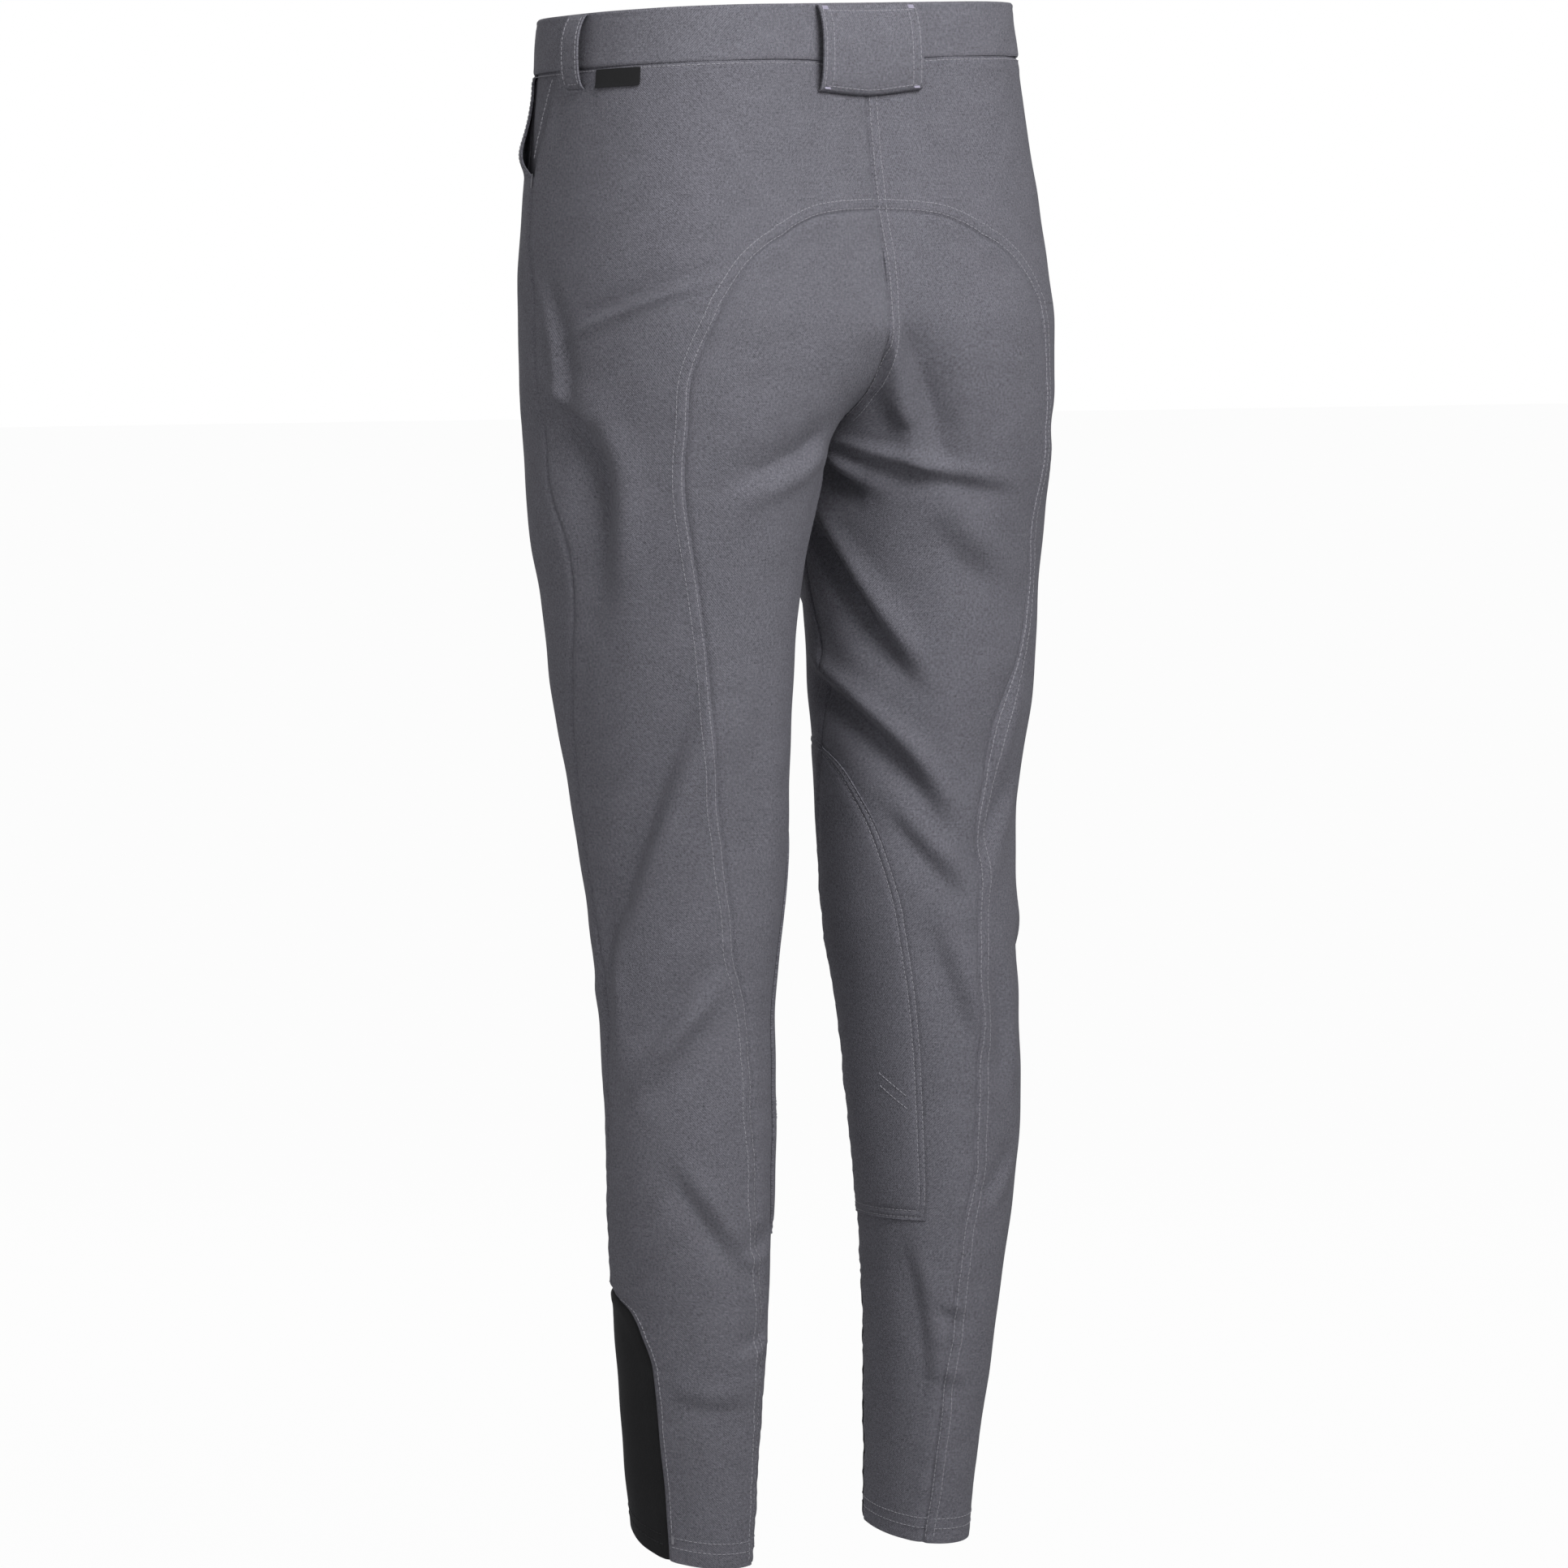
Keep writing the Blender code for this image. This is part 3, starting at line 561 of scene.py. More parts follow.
SEAM_TREES = {leg: point_tree(np.concatenate([form(leg, *path) for path in seam_paths(leg)]))
              for leg in SIDES}
SEAT_TREES = {leg: point_tree(form(leg, *seat_path(leg))) for leg in SIDES}


def ditch(leg, points):
    """The cloth dips at a seam, swells beside it over the allowance, and puckers a little."""
    d = distances(SEAM_TREES[leg], points)
    x, y, z = points.T
    dip = -1.05 * gauss(d / 1.35)
    swell = 0.38 * gauss((d - 6.0) / 4.2)
    pucker = 0.22 * np.sin(0.62 * z + 0.2 * x) * np.sin(0.35 * z - 0.48 * y + 1.0)
    gathers = 0.42 * np.sin(0.40 * z + 0.12 * y) * np.sin(0.17 * z + 0.05 * x + 0.8)
    gathers *= np.clip((-470 - z) / 80, 0, 1) * gauss(d / 13.0)
    return dip + swell + (pucker * gauss(d / 9.0) + gathers) * np.clip(d / 2.0, 0, 1)


def welt(leg, points):
    """The doubled allowance beside the seat seam, between its two rows of stitches."""
    d = distances(SEAT_TREES[leg], points)
    run = np.clip((d - 1.0) / 1.6, 0, 1) * np.clip((9.6 - d) / 2.4, 0, 1)
    x, y, z = points.T
    gathers = 0.16 * np.sin(0.9 * z + 0.35 * x) + 0.14 * np.sin(0.47 * z - 0.6 * y)
    near, far = SEAT_ROWS
    rows = 0.22 * gauss((d - near) / 0.7) + 0.30 * gauss((d - far) / 0.8)
    return (0.34 + gathers) * run - rows


def gape(turn, z):
    """The pocket mouth stands away from the hip at mid height."""
    along = np.clip((WAIST_SEAM - z) / (WAIST_SEAM - POCKET_FOOT), 0, 1)
    near = gauss((turn - curve_turn(POCKET_MOUTH, z)) / 14)
    return 1.05 * POCKET_GAPE * np.sin(math.pi * along ** 3.0) ** 1.2 * near


def level_ways(leg, turn, z, points):
    """Outward ways that keep the edges at the centre seams in the plane between the halves."""
    ways = normals(leg, turn, z)
    hold = np.where(z > CROTCH, np.clip(np.abs(points[:, 0]) / 7.0, 0, 1), 1)
    ways[:, 0] *= hold
    return unit(ways)


def relief(leg, turn, z, seams=True):
    """Form points, outward ways and the cloth's own relief at each place.

    seams is True for the seams' ditches, "welt" for the seat's allowance as well, or False.
    """
    shape = np.shape(turn)
    turn, z = np.ravel(turn), np.ravel(z)
    points = form(leg, turn, z)
    out = folds(leg, points) + slack(leg, points)
    if seams:
        out = out + ditch(leg, points)
    if seams == "welt":
        out = out + welt(leg, points)
    return points, level_ways(leg, turn, z, points), out, shape


def cloth(leg, turn, z, lift=0.0, seams=True):
    """Places on the cloth's outer face, moved out by lift."""
    turn, z = np.broadcast_arrays(np.asarray(turn, float), np.asarray(z, float))
    points, out_way, out, shape = relief(leg, turn, z, seams)
    total = out + np.ravel(np.broadcast_to(lift, shape))
    return (points + out_way * total[:, None]).reshape(*shape, 3)


# ---- Meshes ----

CLOTH_STEP = 3.0
SHARP_ANGLE = math.radians(55)
# Distances of the first rows of a grid from its edge
EDGE_STEPS = (0.0, 0.8, 1.6, 2.4, 3.4, 4.5, 5.5, 6.3, 7.1, 7.9, 9.0, 10.6)


def marks(length, step=CLOTH_STEP):
    """Shares from 0 to 1 across a length in mm, close together near both ends."""
    if length < 3 * EDGE_STEPS[-1]:
        return np.linspace(0, 1, max(3, int(length / step) + 1))
    inner = np.linspace(EDGE_STEPS[-1], length - EDGE_STEPS[-1],
                        max(2, int((length - 2 * EDGE_STEPS[-1]) / step)))
    near = np.array(EDGE_STEPS[:-1])
    return np.concatenate([near, inner, length - near[::-1]]) / length


class Shell:
    """Grids of places sewn into one open surface, then made a thin closed wall."""

    def __init__(self, leg):
        self.leg = leg
        self.points = []
        self.ways = []
        self.cloth_uv = []
        self.quads = []
        self.count = 0

    def add(self, turn, z, lift=0.0, first_row=None, seams=True):
        """Adds a grid; first_row gives indices already made for its top row."""
        points, ways, out, shape = relief(self.leg, turn, z, seams)
        total = out + np.ravel(np.broadcast_to(lift, shape))
        return self.add_points((points + ways * total[:, None]).reshape(*shape, 3),
                               ways.reshape(*shape, 3), first_row)

    def add_points(self, placed, ways, first_row=None, standing=False):
        """Adds a grid of places; standing says that its rows run up and down."""
        rows, cols = placed.shape[:2]
        index = np.arange(rows * cols).reshape(rows, cols) + self.count
        axis = 0 if standing else 1
        step = np.linalg.norm(np.diff(placed, axis=axis), axis=2)
        across = np.cumsum(np.insert(step, 0, 0, axis=axis), axis=axis)
        if not standing:
            across -= across[:, cols // 2:cols // 2 + 1]
        uv = np.stack([across, placed[..., 2]], -1) * MM
        if first_row is not None:
            index = index - cols
            index[0] = first_row
            placed, ways, uv = placed[1:], ways[1:], uv[1:]
        self.points.append(placed.reshape(-1, 3))
        self.ways.append(ways.reshape(-1, 3))
        self.cloth_uv.append(uv.reshape(-1, 2))
        self.count += placed.shape[0] * cols
        quads = np.stack([index[:-1, :-1], index[1:, :-1], index[1:, 1:], index[:-1, 1:]], -1)
        self.quads.append(quads.reshape(-1, 4))
        return index

    def build(self, name, thickness, material, clear_centre=False):
        """The finished wall; clear_centre keeps it off the plane between the halves."""
        points = np.concatenate(self.points)
        ways = np.concatenate(self.ways)
        uv = np.concatenate(self.cloth_uv)
        quads = np.concatenate(self.quads)
        if self.leg == "right":
            quads = quads[:, ::-1]
        inner = points - ways * thickness
        if clear_centre:
            sign = SIDES[self.leg]
            for side in (points, inner):
                side[:, 0] = sign * np.maximum(sign * side[:, 0], TOUCH)
        edges = np.concatenate([quads[:, [i, (i + 1) % 4]] for i in range(4)])
        size = len(points)
        forward = edges[:, 0] * size + edges[:, 1]
        backward = edges[:, 1] * size + edges[:, 0]
        border = edges[~np.isin(forward, backward)]
        rim = np.stack([border[:, 1], border[:, 0], border[:, 0] + size, border[:, 1] + size], -1)
        faces = np.concatenate([quads, quads[:, ::-1] + size, rim])
        return make_mesh(name, np.concatenate([points, inner]), faces,
                         np.concatenate([uv, uv]), material)


def one_sheet(leg, name, thickness, material, turn, z, lift=0.0, seams=True, clear_centre=False):
    """A piece made of a single grid of turns and heights."""
    shell = Shell(leg)
    shell.add(turn, z, lift, seams=seams)
    return shell.build(name, thickness, material, clear_centre)


def make_mesh(name, points, faces, uv, material):
    data = bpy.data.meshes.new(name)
    data.from_pydata((points * MM).tolist(), [], faces.tolist())
    if uv is not None:
        layer = data.uv_layers.new(name="cloth")
        loops = np.empty(len(data.loops), np.int32)
        data.loops.foreach_get("vertex_index", loops)
        layer.data.foreach_set("uv", uv[loops].astype(np.float32).ravel())
    data.validate()
    data.shade_smooth()
    data.set_sharp_from_angle(angle=SHARP_ANGLE)
    data.materials.append(material)
    piece = bpy.data.objects.new(name, data)
    bpy.context.scene.collection.objects.link(piece)
    return piece


def stands_for(piece, slot, *nodes):
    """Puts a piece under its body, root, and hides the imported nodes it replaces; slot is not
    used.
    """
    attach(piece, "root")
    if nodes:
        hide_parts(*nodes)


# ---- Panels ----
# What shows of each piece's flat cut: width and length of its rectangle, and its area, in metres
Cut = namedtuple("Cut", "width length area")
# Rough sizes across each panel, mm, which set how fine its grid is
SIDE_WIDTH = 150
ARC_WIDTH = 150
SEAT_HEIGHT = 120
FRONT_WIDTH = 170
SHIN_WIDTH = 120
FACING_WIDTH = 80
PATCH_WIDTH = 150


def same(value):
    """An edge that stays at one turn, for grid."""
    return lambda heights: np.full(len(heights), float(value))


def inseam_front(z):
    return seam_turn("inseam", z) - 360


def grid(heights, start, end, shares):
    """Turns and heights between two edges, which are functions of the height."""
    z = np.repeat(np.asarray(heights, float)[:, None], len(shares), axis=1)
    first = np.asarray(start(heights), float)[:, None]
    last = np.asarray(end(heights), float)[:, None]
    return first + (last - first) * shares[None], z


def rows_down(top, foot, step=CLOTH_STEP):
    return top + (foot - top) * marks(abs(foot - top), step)


def outer_panel(leg):
    """Hip, yoke and outer leg; the yoke runs down to the seat arc."""
    across, over = marks(SIDE_WIDTH), marks(ARC_WIDTH)
    share = marks(PANEL_TOP - ARC_FOOT)
    side_z = PANEL_TOP + (ARC_FOOT - PANEL_TOP) * share
    turn, z = grid(side_z, side_edge, same(SEAT_SIDE_TURN), across)
    over_turn = SEAT_SIDE_TURN + (CENTRE_TURN - SEAT_SIDE_TURN) * over
    arc_turn = np.repeat(over_turn[None, 1:], len(share), axis=0)
    arc_z = PANEL_TOP + (curve_z(SEAT_ARC, arc_turn) - PANEL_TOP) * share[:, None]
    shell = Shell(leg)
    top = shell.add(np.hstack([turn, arc_turn]), np.hstack([z, arc_z]), seams="welt")
    lower_z = rows_down(ARC_FOOT, HEM)
    turn, z = grid(lower_z, side_edge, lambda h: seat_turn(leg, h), across)
    shell.add(turn, z, first_row=top[-1, :len(across)], seams="welt")
    return shell.build(leg + "_outer_cloth", CLOTH, TWILL, True)


def seat_panel(leg):
    """Full seat and inner leg; its top edge is the seat arc."""
    over = marks(ARC_WIDTH)
    share = marks(SEAT_HEIGHT)
    side_z = ARC_FOOT + (CROTCH - ARC_FOOT) * share
    centre_z = SEAT_TOP + (CROTCH - SEAT_TOP) * share
    start = seat_turn(leg, side_z)[:, None]
    turn = start + (CENTRE_TURN - start) * over[None]
    flat_z = side_z[:, None] + (centre_z - side_z)[:, None] * over[None]
    over_turn = SEAT_SIDE_TURN + (CENTRE_TURN - SEAT_SIDE_TURN) * over
    bulge = curve_z(SEAT_ARC, over_turn) - (ARC_FOOT + (SEAT_TOP - ARC_FOOT) * over)
    z = flat_z + bulge[None] * (1 - share)[:, None]
    shell = Shell(leg)
    top = shell.add(turn, z)
    lower_z = rows_down(CROTCH, HEM)
    turn, z = grid(lower_z, lambda h: seat_turn(leg, h), lambda h: seam_turn("inseam", h), over)
    shell.add(turn, z, first_row=top[-1])
    return shell.build(leg + "_seat_cloth", CLOTH, TWILL, True)


def front_panel(leg):
    heights = np.concatenate([rows_down(PANEL_TOP, POCKET_FOOT),
                              rows_down(POCKET_FOOT, SHIN_TOP)[1:]])
    turn, z = grid(heights, inseam_front, front_edge, marks(FRONT_WIDTH))
    return one_sheet(leg, leg + "_front_cloth", CLOTH, TWILL, turn, z, gape(turn, z),
                     clear_centre=True)


def shin_panel(leg):
    turn, z = grid(rows_down(SHIN_TOP, HEM), inseam_front,
                   lambda heights: curve_turn(SHIN_EDGE, heights), marks(SHIN_WIDTH))
    return one_sheet(leg, leg + "_shin_cloth", THIN_CLOTH, STRETCH, turn, z)


def pocket_facing(leg):
    turn, z = grid(rows_down(POCKET_FACING_TOP, POCKET_FOOT), same(FACING_FRONT_TURN),
                   same(FACING_BACK_TURN), marks(FACING_WIDTH))
    return one_sheet(leg, leg + "_pocket_cloth", THIN_CLOTH, TWILL, turn, z,
                     -(CLOTH + POCKET_DEPTH), seams=False)


def patch_edge(name):
    heights = column(PATCH_EDGES, "z")
    return lambda z: table(heights, column(PATCH_EDGES, name), z)


def patch_lift(turn, z):
    """The patch lies on the panels, pulled down by its rows of stitches."""
    back, front = patch_edge("back")(z), patch_edge("front")(z)
    edge = np.minimum(turn - back, front - turn)
    edge = np.minimum(edge, np.minimum(PATCH_TOP - z + 2, z - PATCH_FOOT))
    outer, inner = PATCH_ROWS
    rows = 0.55 * gauss((edge - outer) / 0.8) + 0.62 * gauss((edge - inner) / 1.0)
    puff = 0.35 * np.clip((edge - 7) / 6, 0, 1)
    top = np.clip((PATCH_TOP - z) / 30, 0, 1) * np.clip(0.4 + (z - PATCH_FOOT) / 14, 0, 1)
    return 0.7 + (0.75 + puff) * top - rows


def knee_patch(leg):
    turn, z = grid(rows_down(PATCH_TOP, PATCH_FOOT), patch_edge("back"), patch_edge("front"),
                   marks(PATCH_WIDTH))
    return one_sheet(leg, leg + "_patch_cloth", CLOTH, TWILL, turn, z, patch_lift(turn, z))


PANELS = {"outer_panel": (outer_panel, "twill"), "seat_panel": (seat_panel, "twill"),
          "front_panel": (front_panel, "twill"), "shin_panel": (shin_panel, "stretch"),
          "pocket_facing": (pocket_facing, "twill"), "knee_patch": (knee_patch, "twill")}


# ---- Waistband, fly, loops, tab and button ----

def ring_place(s):
    """Turn for s from -360 (centre front, right) by 0 (centre back) to 360 (left)."""
    return 180 - np.abs(s)


def ring_cloth(s, z, lift):
    """Places and outward normals round the whole waist, for arrays of s, z and lift."""
    s, z, lift = np.broadcast_arrays(s, z, lift)
    placed = np.empty(s.shape + (3,))
    ways = np.empty(s.shape + (3,))
    for leg in SIDES:
        here = (s >= 0) if leg == "left" else (s < 0)
        over = s > 360
        here = here & ~over if leg == "left" else here | over
        turn = np.where(over, -180 + (s - 360), ring_place(s))[here]
        points = form(leg, turn, z[here])
        way = normals(leg, turn, z[here])
        placed[here] = points + way * lift[here][:, None]
        ways[here] = way
    return placed, ways


def band_wave(s, z):
    """The band is not quite flat: it ripples over the loops and seams."""
    ripple = 0.35 * np.sin(s * 0.061 + 0.7) * np.sin(z * 0.11 + 1.0)
    return ripple + 0.25 * np.sin(s * 0.19 + z * 0.2)


def waistband():
    """One strip round the waist with a soft top edge; its left end laps over the right one."""
    s = np.linspace(-360, 360 + LAP_TURN, 520)
    z = np.concatenate([BAND_TOP - np.array([0.0, 0.35, 1.0, 2.0, 3.4]),
                        np.linspace(6.0, -20.4, 17)])
    z = np.concatenate([z, [-21.4, -22.1, -22.5, WAIST_SEAM + SEAM_GAP]])
    ramp = np.clip((s - LAP_START) / (360 - LAP_START), 0, 1)
    ramp = ramp * ramp * (3 - 2 * ramp)
    top_round = -0.9 * gauss((BAND_TOP - z) / 0.8)
    foot_round = -0.7 * gauss((z - WAIST_SEAM) / 1.0)
    stitched = -0.35 * gauss((z - BAND_TOP + 4.0) / 1.2)
    lift = BAND_PROUD + (BAND_CLOTH + SEAM_GAP) * ramp[None] + (top_round + foot_round
                                                               + stitched)[:, None]
    lift = lift + band_wave(s[None], z[:, None]) * 0.8
    placed, ways = ring_cloth(s[None], z[:, None], lift)
    shell = Shell("left")
    shell.add_points(placed, ways)
    return shell.build("waistband_cloth", BAND_CLOTH - 0.5, BAND_TWILL)


def fly_foot(z):
    """The fly's width at each height in degrees of turn: full, then rounding in to the centre."""
    along = np.clip((FLY_ROUND_TOP - z) / (FLY_ROUND_TOP - FLY_FOOT), 0, 1)
    return FLY_WIDTH_TURN * (1 - 0.72 * along ** 2.6)


def fly_placket():
    """The stitched fly, from the centre front out to its rounded edge."""
    turn, z = grid(rows_down(WAIST_SEAM - SEAM_GAP, FLY_FOOT), same(-CENTRE_TURN),
                   lambda heights: -CENTRE_TURN + fly_foot(heights), marks(34, 2.0))
    share = (turn + CENTRE_TURN) / fly_foot(z)
    lift = 2 * SEAM_GAP + THIN_CLOTH - 0.35 * gauss((share - FLY_ROW) / 0.06)
    lift = lift + 0.2 * gauss((share - 1) / 0.1)
    return one_sheet("left", "fly_cloth", THIN_CLOTH, TWILL, turn, z, lift, clear_centre=True)


def loop_bow(t):
    """How far a loop stands off the band along its length, 0 at the head and 1 at the foot."""
    return LOOP_STAND_OFF * np.sin(math.pi * t) ** 0.55 * (1 + 0.06 * np.sin(7 * t + 0.5))


def loop_grid(stations, foot, gap):
    """Places and normals of a loop's outer face; stations is a list of (leg, turn)."""
    t = marks(60, 1.7)
    placed, ways = [], []
    for k, (leg, turn) in enumerate(stations):
        z = LOOP_TOP + (foot - LOOP_TOP) * t
        across = k / (len(stations) - 1)
        edge = min(across, 1 - across)
        hem = -0.25 * math.exp(-((edge - 0.11) / 0.03) ** 2)
        lift = BAND_PROUD + gap + LOOP_CLOTH + loop_bow(t) + hem
        points = form(leg, np.full(len(t), turn), z)
        way = normals(leg, np.full(len(t), turn), z)
        placed.append(points + way * lift[:, None])
        ways.append(way)
    return np.array(placed), np.array(ways), t


def belt_loop(name, stations, foot, gap):
    placed, ways, _ = loop_grid(stations, foot, gap)
    shell = Shell("left")
    shell.add_points(placed, ways, standing=True)
    return shell.build(name + "_cloth", LOOP_CLOTH, BAND_TWILL)


def wide_stations(count=40):
    s = np.linspace(-(180 - WIDE_LOOP_TURN), 180 - WIDE_LOOP_TURN, count)
    return [("left" if x >= 0 else "right", 180 - abs(x)) for x in s]


def narrow_stations(leg, place, count=13):
    half = SIDES[leg] * place.span / 2
    return [(leg, turn) for turn in np.linspace(place.turn + half, place.turn - half, count)]


def blank_tab():
    """The small woven tab caught in the waist seam: plain tape, folded at its foot."""
    turn, z = grid(rows_down(WAIST_SEAM - 1.5, TAB_FOOT, 1.0), same(TAB_FRONT_TURN),
                   same(TAB_BACK_TURN), marks(36, 1.2))
    foot = 0.5 * gauss((z - TAB_FOOT) / 1.5)
    lift = TAB_CLOTH + 2 * SEAM_GAP + foot + 0.3 * np.sin(turn * 0.4) * np.clip((-26 - z) / 9, 0, 1)
    return one_sheet("left", "side_tab_cloth", TAB_CLOTH, TAPE, turn, z, lift, seams=False)


def turned(profile, centre, axis, sides):
    """Points and quads of a profile of (reach, height) pairs turned round an axis."""
    up = np.array([0.0, 0.0, 1.0])
    across = unit(np.cross(up, axis))
    up = np.cross(axis, across)
    angle = np.linspace(0, 2 * math.pi, sides, endpoint=False)
    spoke = np.cos(angle)[:, None] * across + np.sin(angle)[:, None] * up
    rings = [centre + spoke * reach + axis * height for reach, height in profile]
    points = np.concatenate(rings)
    index = np.arange(len(points)).reshape(len(rings), sides)
    ahead = np.roll(index, -1, axis=1)
    quads = np.stack([index[:-1], ahead[:-1], ahead[1:], index[1:]], -1).reshape(-1, 4)
    return points, quads, across, up


def waist_button():
    """A flat sew-through button with a raised rim, and the thread through its four holes."""
    radius, thick, hole_reach = 8.5, 2.4, 1.5
    seat = BAND_PROUD + BAND_CLOTH + 3 * SEAM_GAP
    turn, z = -180 + LAP_TURN * 0.6, -6.0
    axis = normals("right", np.array([turn]), np.array([z]))[0]
    centre = form("right", np.array([turn]), np.array([z]))[0] + axis * seat
    profile = ((0.01, 0.0), (radius - 0.9, 0.0), (radius - 0.25, 0.25), (radius, 0.8),
               (radius, thick - 0.9), (radius - 0.3, thick - 0.3), (radius - 0.9, thick),
               (radius - 1.7, thick - 0.15), (radius - 2.3, thick - 0.7),
               (radius - 3.0, thick - 0.9), (0.01, thick - 0.9))
    points, quads, across, up = turned(profile, centre, axis, 48)
    button = make_mesh("waist_button_disc", points, quads, None, BUTTON)
    face = centre + axis * (thick - 0.5)
    reach = across * hole_reach
    rows = (face - up * hole_reach, face + up * hole_reach)
    bars = [(row - reach, row + reach, axis) for row in rows]
    thread = bead_mesh("button_thread", bars, 0.55, 0.4, THREAD)
    return button, thread


# ---- Stitches ----
STITCH = 2.35
STITCH_PITCH = 3.05
THREAD_WIDTH = 0.55
THREAD_HEIGHT = 0.34
THREAD_SUNK = 0.15
TACK_PITCH = 0.55
# A bar's cross sections along it: share of its half length, of its width and of its height
BAR_RINGS = ((-1.0, 0.45, 0.05), (-0.72, 1.0, 0.85), (0.72, 1.0, 0.85), (1.0, 0.45, 0.05))


def bead_mesh(name, bars, width, height, material):
    """Short rounded bars, each from a to b with its own outward way, joined in one mesh."""
    a = np.array([bar[0] for bar in bars])
    b = np.array([bar[1] for bar in bars])
    out = unit(np.array([bar[2] for bar in bars]))
    along = unit(b - a)
    side = unit(np.cross(along, out))
    out = np.cross(side, along)
    mid = (a + b) / 2
    half = np.linalg.norm(b - a, axis=1)[:, None] / 2
    rings = []
    for share, wide, high in BAR_RINGS:
        base = mid + along * half * share
        foot, head = out * THREAD_SUNK, out * height * high
        rings.append(np.stack([base - side * width * wide / 2 - foot,
                               base - side * width * wide * 0.3 + head,
                               base + side * width * wide * 0.3 + head,
                               base + side * width * wide / 2 - foot], 1))
    points = np.stack(rings, 1)
    count = len(bars)
    base = (np.arange(count) * 16)[:, None, None]
    quads = []
    for ring in range(3):
        for k in range(4):
            nxt = (k + 1) % 4
            quads.append([ring * 4 + k, ring * 4 + nxt, ring * 4 + 4 + nxt, ring * 4 + 4 + k])
    quads.append([3, 2, 1, 0])
    quads.append([12, 13, 14, 15])
    faces = (np.array(quads)[None] + base).reshape(-1, 4)[:, ::-1]
    return make_mesh(name, points.reshape(-1, 3), faces, None, material)


def offset_path(leg, turn, z, offset):
    """A path moved sideways along the form by offset mm, along its normal crossed with its way."""
    points = form(leg, turn, z)
    way = unit(np.gradient(points, axis=0))
    side = np.cross(normals(leg, turn, z), way)
    around, down = tangents(leg, turn, z)
    gram = np.stack([np.stack([(around * around).sum(1), (around * down).sum(1)], -1),
                     np.stack([(around * down).sum(1), (down * down).sum(1)], -1)], -2)
    want = np.stack([(side * around).sum(1), (side * down).sum(1)], -1) * offset
    move = np.linalg.solve(gram, want[..., None])[..., 0]
    return turn + move[:, 0], z - move[:, 1]


def even_places(points, pitch):
    """Arc length along a path of points and the starts of evenly spaced stitches."""
    run = np.concatenate([[0], np.cumsum(np.linalg.norm(np.diff(points, axis=0), axis=1))])
    count = max(1, int(run[-1] // pitch))
    return run, np.arange(count) * pitch + (run[-1] - count * pitch) / 2


def path_bars(points, out):
    """Bars for evenly spaced stitches along a path of points with outward ways."""
    run, starts = even_places(points, STITCH_PITCH)
    bars = []
    for start in starts:
        ends = [np.array([np.interp(start + step, run, points[:, i]) for i in range(3)])
                for step in (0.0, STITCH)]
        way = np.array([np.interp(start, run, out[:, i]) for i in range(3)])
        bars.append((ends[0] + way * 0.05, ends[1] + way * 0.05, way))
    return bars


def stitch_row(leg, turn, z, lift=0.0, seams=True):
    """Bars for one row on the cloth along a path; lift is mm or a function of turn and z."""
    turn, z = np.broadcast_arrays(np.asarray(turn, float), np.asarray(z, float))
    z = np.clip(z, HEM, BAND_TOP)
    height = lift(turn, z) if callable(lift) else lift
    return path_bars(cloth(leg, turn, z, height, seams), normals(leg, turn, z))


def bar_tack(leg, turn, z, lift, tall, wide):
    """A small dense block of cross stitches centred on a place."""
    centre_turn, centre_z = np.array([float(turn)]), np.array([float(z)])
    down = tangents(leg, centre_turn, centre_z)[1]
    out = normals(leg, centre_turn, centre_z)[0]
    middle = cloth(leg, centre_turn, centre_z, lift)[0]
    way = unit(down[0])
    reach = unit(np.cross(out, way)) * wide / 2
    places = [middle + way * (k * TACK_PITCH - tall / 2) for k in range(int(tall / TACK_PITCH))]
    return [(at - reach, at + reach, out) for at in places]


def seat_rows(leg):
    """Both rows beside the seat seam, from the centre back to the hem, on the allowance."""
    bars = []
    for gap in SEAT_ROWS:
        turn, z = offset_path(leg, *seat_path(leg), -SIDES[leg] * gap)
        keep = (z > HEM + 2) & (turn < CENTRE_TURN - 0.6)
        bars += stitch_row(leg, turn[keep], z[keep], 0.0, "welt")
    return bars


def hem_and_shin_rows(leg):
    """The hem's rows on the twill, and the rows beside the shin panel's outer and top edges."""
    around = even(curve_turn(SHIN_EDGE, HEM) + 3, LONG_SEAMS[-1].inseam - 1, 0.8)
    bars = []
    for height in HEM_ROWS:
        bars += stitch_row(leg, around, height)
    shin_z = even(SHIN_TOP - 4, HEM + 16, 1.0)
    bars += stitch_row(leg, curve_turn(SHIN_EDGE, shin_z) + 5.2, shin_z)
    top = even(SHIN_EDGE[0].turn - 6, SHIN_INNER_TURN + 4, 0.8)
    return bars + stitch_row(leg, top, SHIN_TOP + 4.0)


def pocket_rows(leg):
    """Two rows along the pocket mouth, and one just in front of the side seam behind it."""
    mouth_z = even(WAIST_SEAM - 1, POCKET_FOOT + 2, 1.0)
    mouth = curve_turn(POCKET_MOUTH, mouth_z)
    bars = []
    for gap in POCKET_ROWS:
        bars += stitch_row(leg, mouth - gap, mouth_z, gape)
    facing_z = even(WAIST_SEAM - 4, POCKET_FOOT + 12, 1.0)
    facing = np.interp(-facing_z, [-WAIST_SEAM + 4, -POCKET_FOOT - 12], [-6.0, -17.0])
    return bars + stitch_row(leg, facing, facing_z)


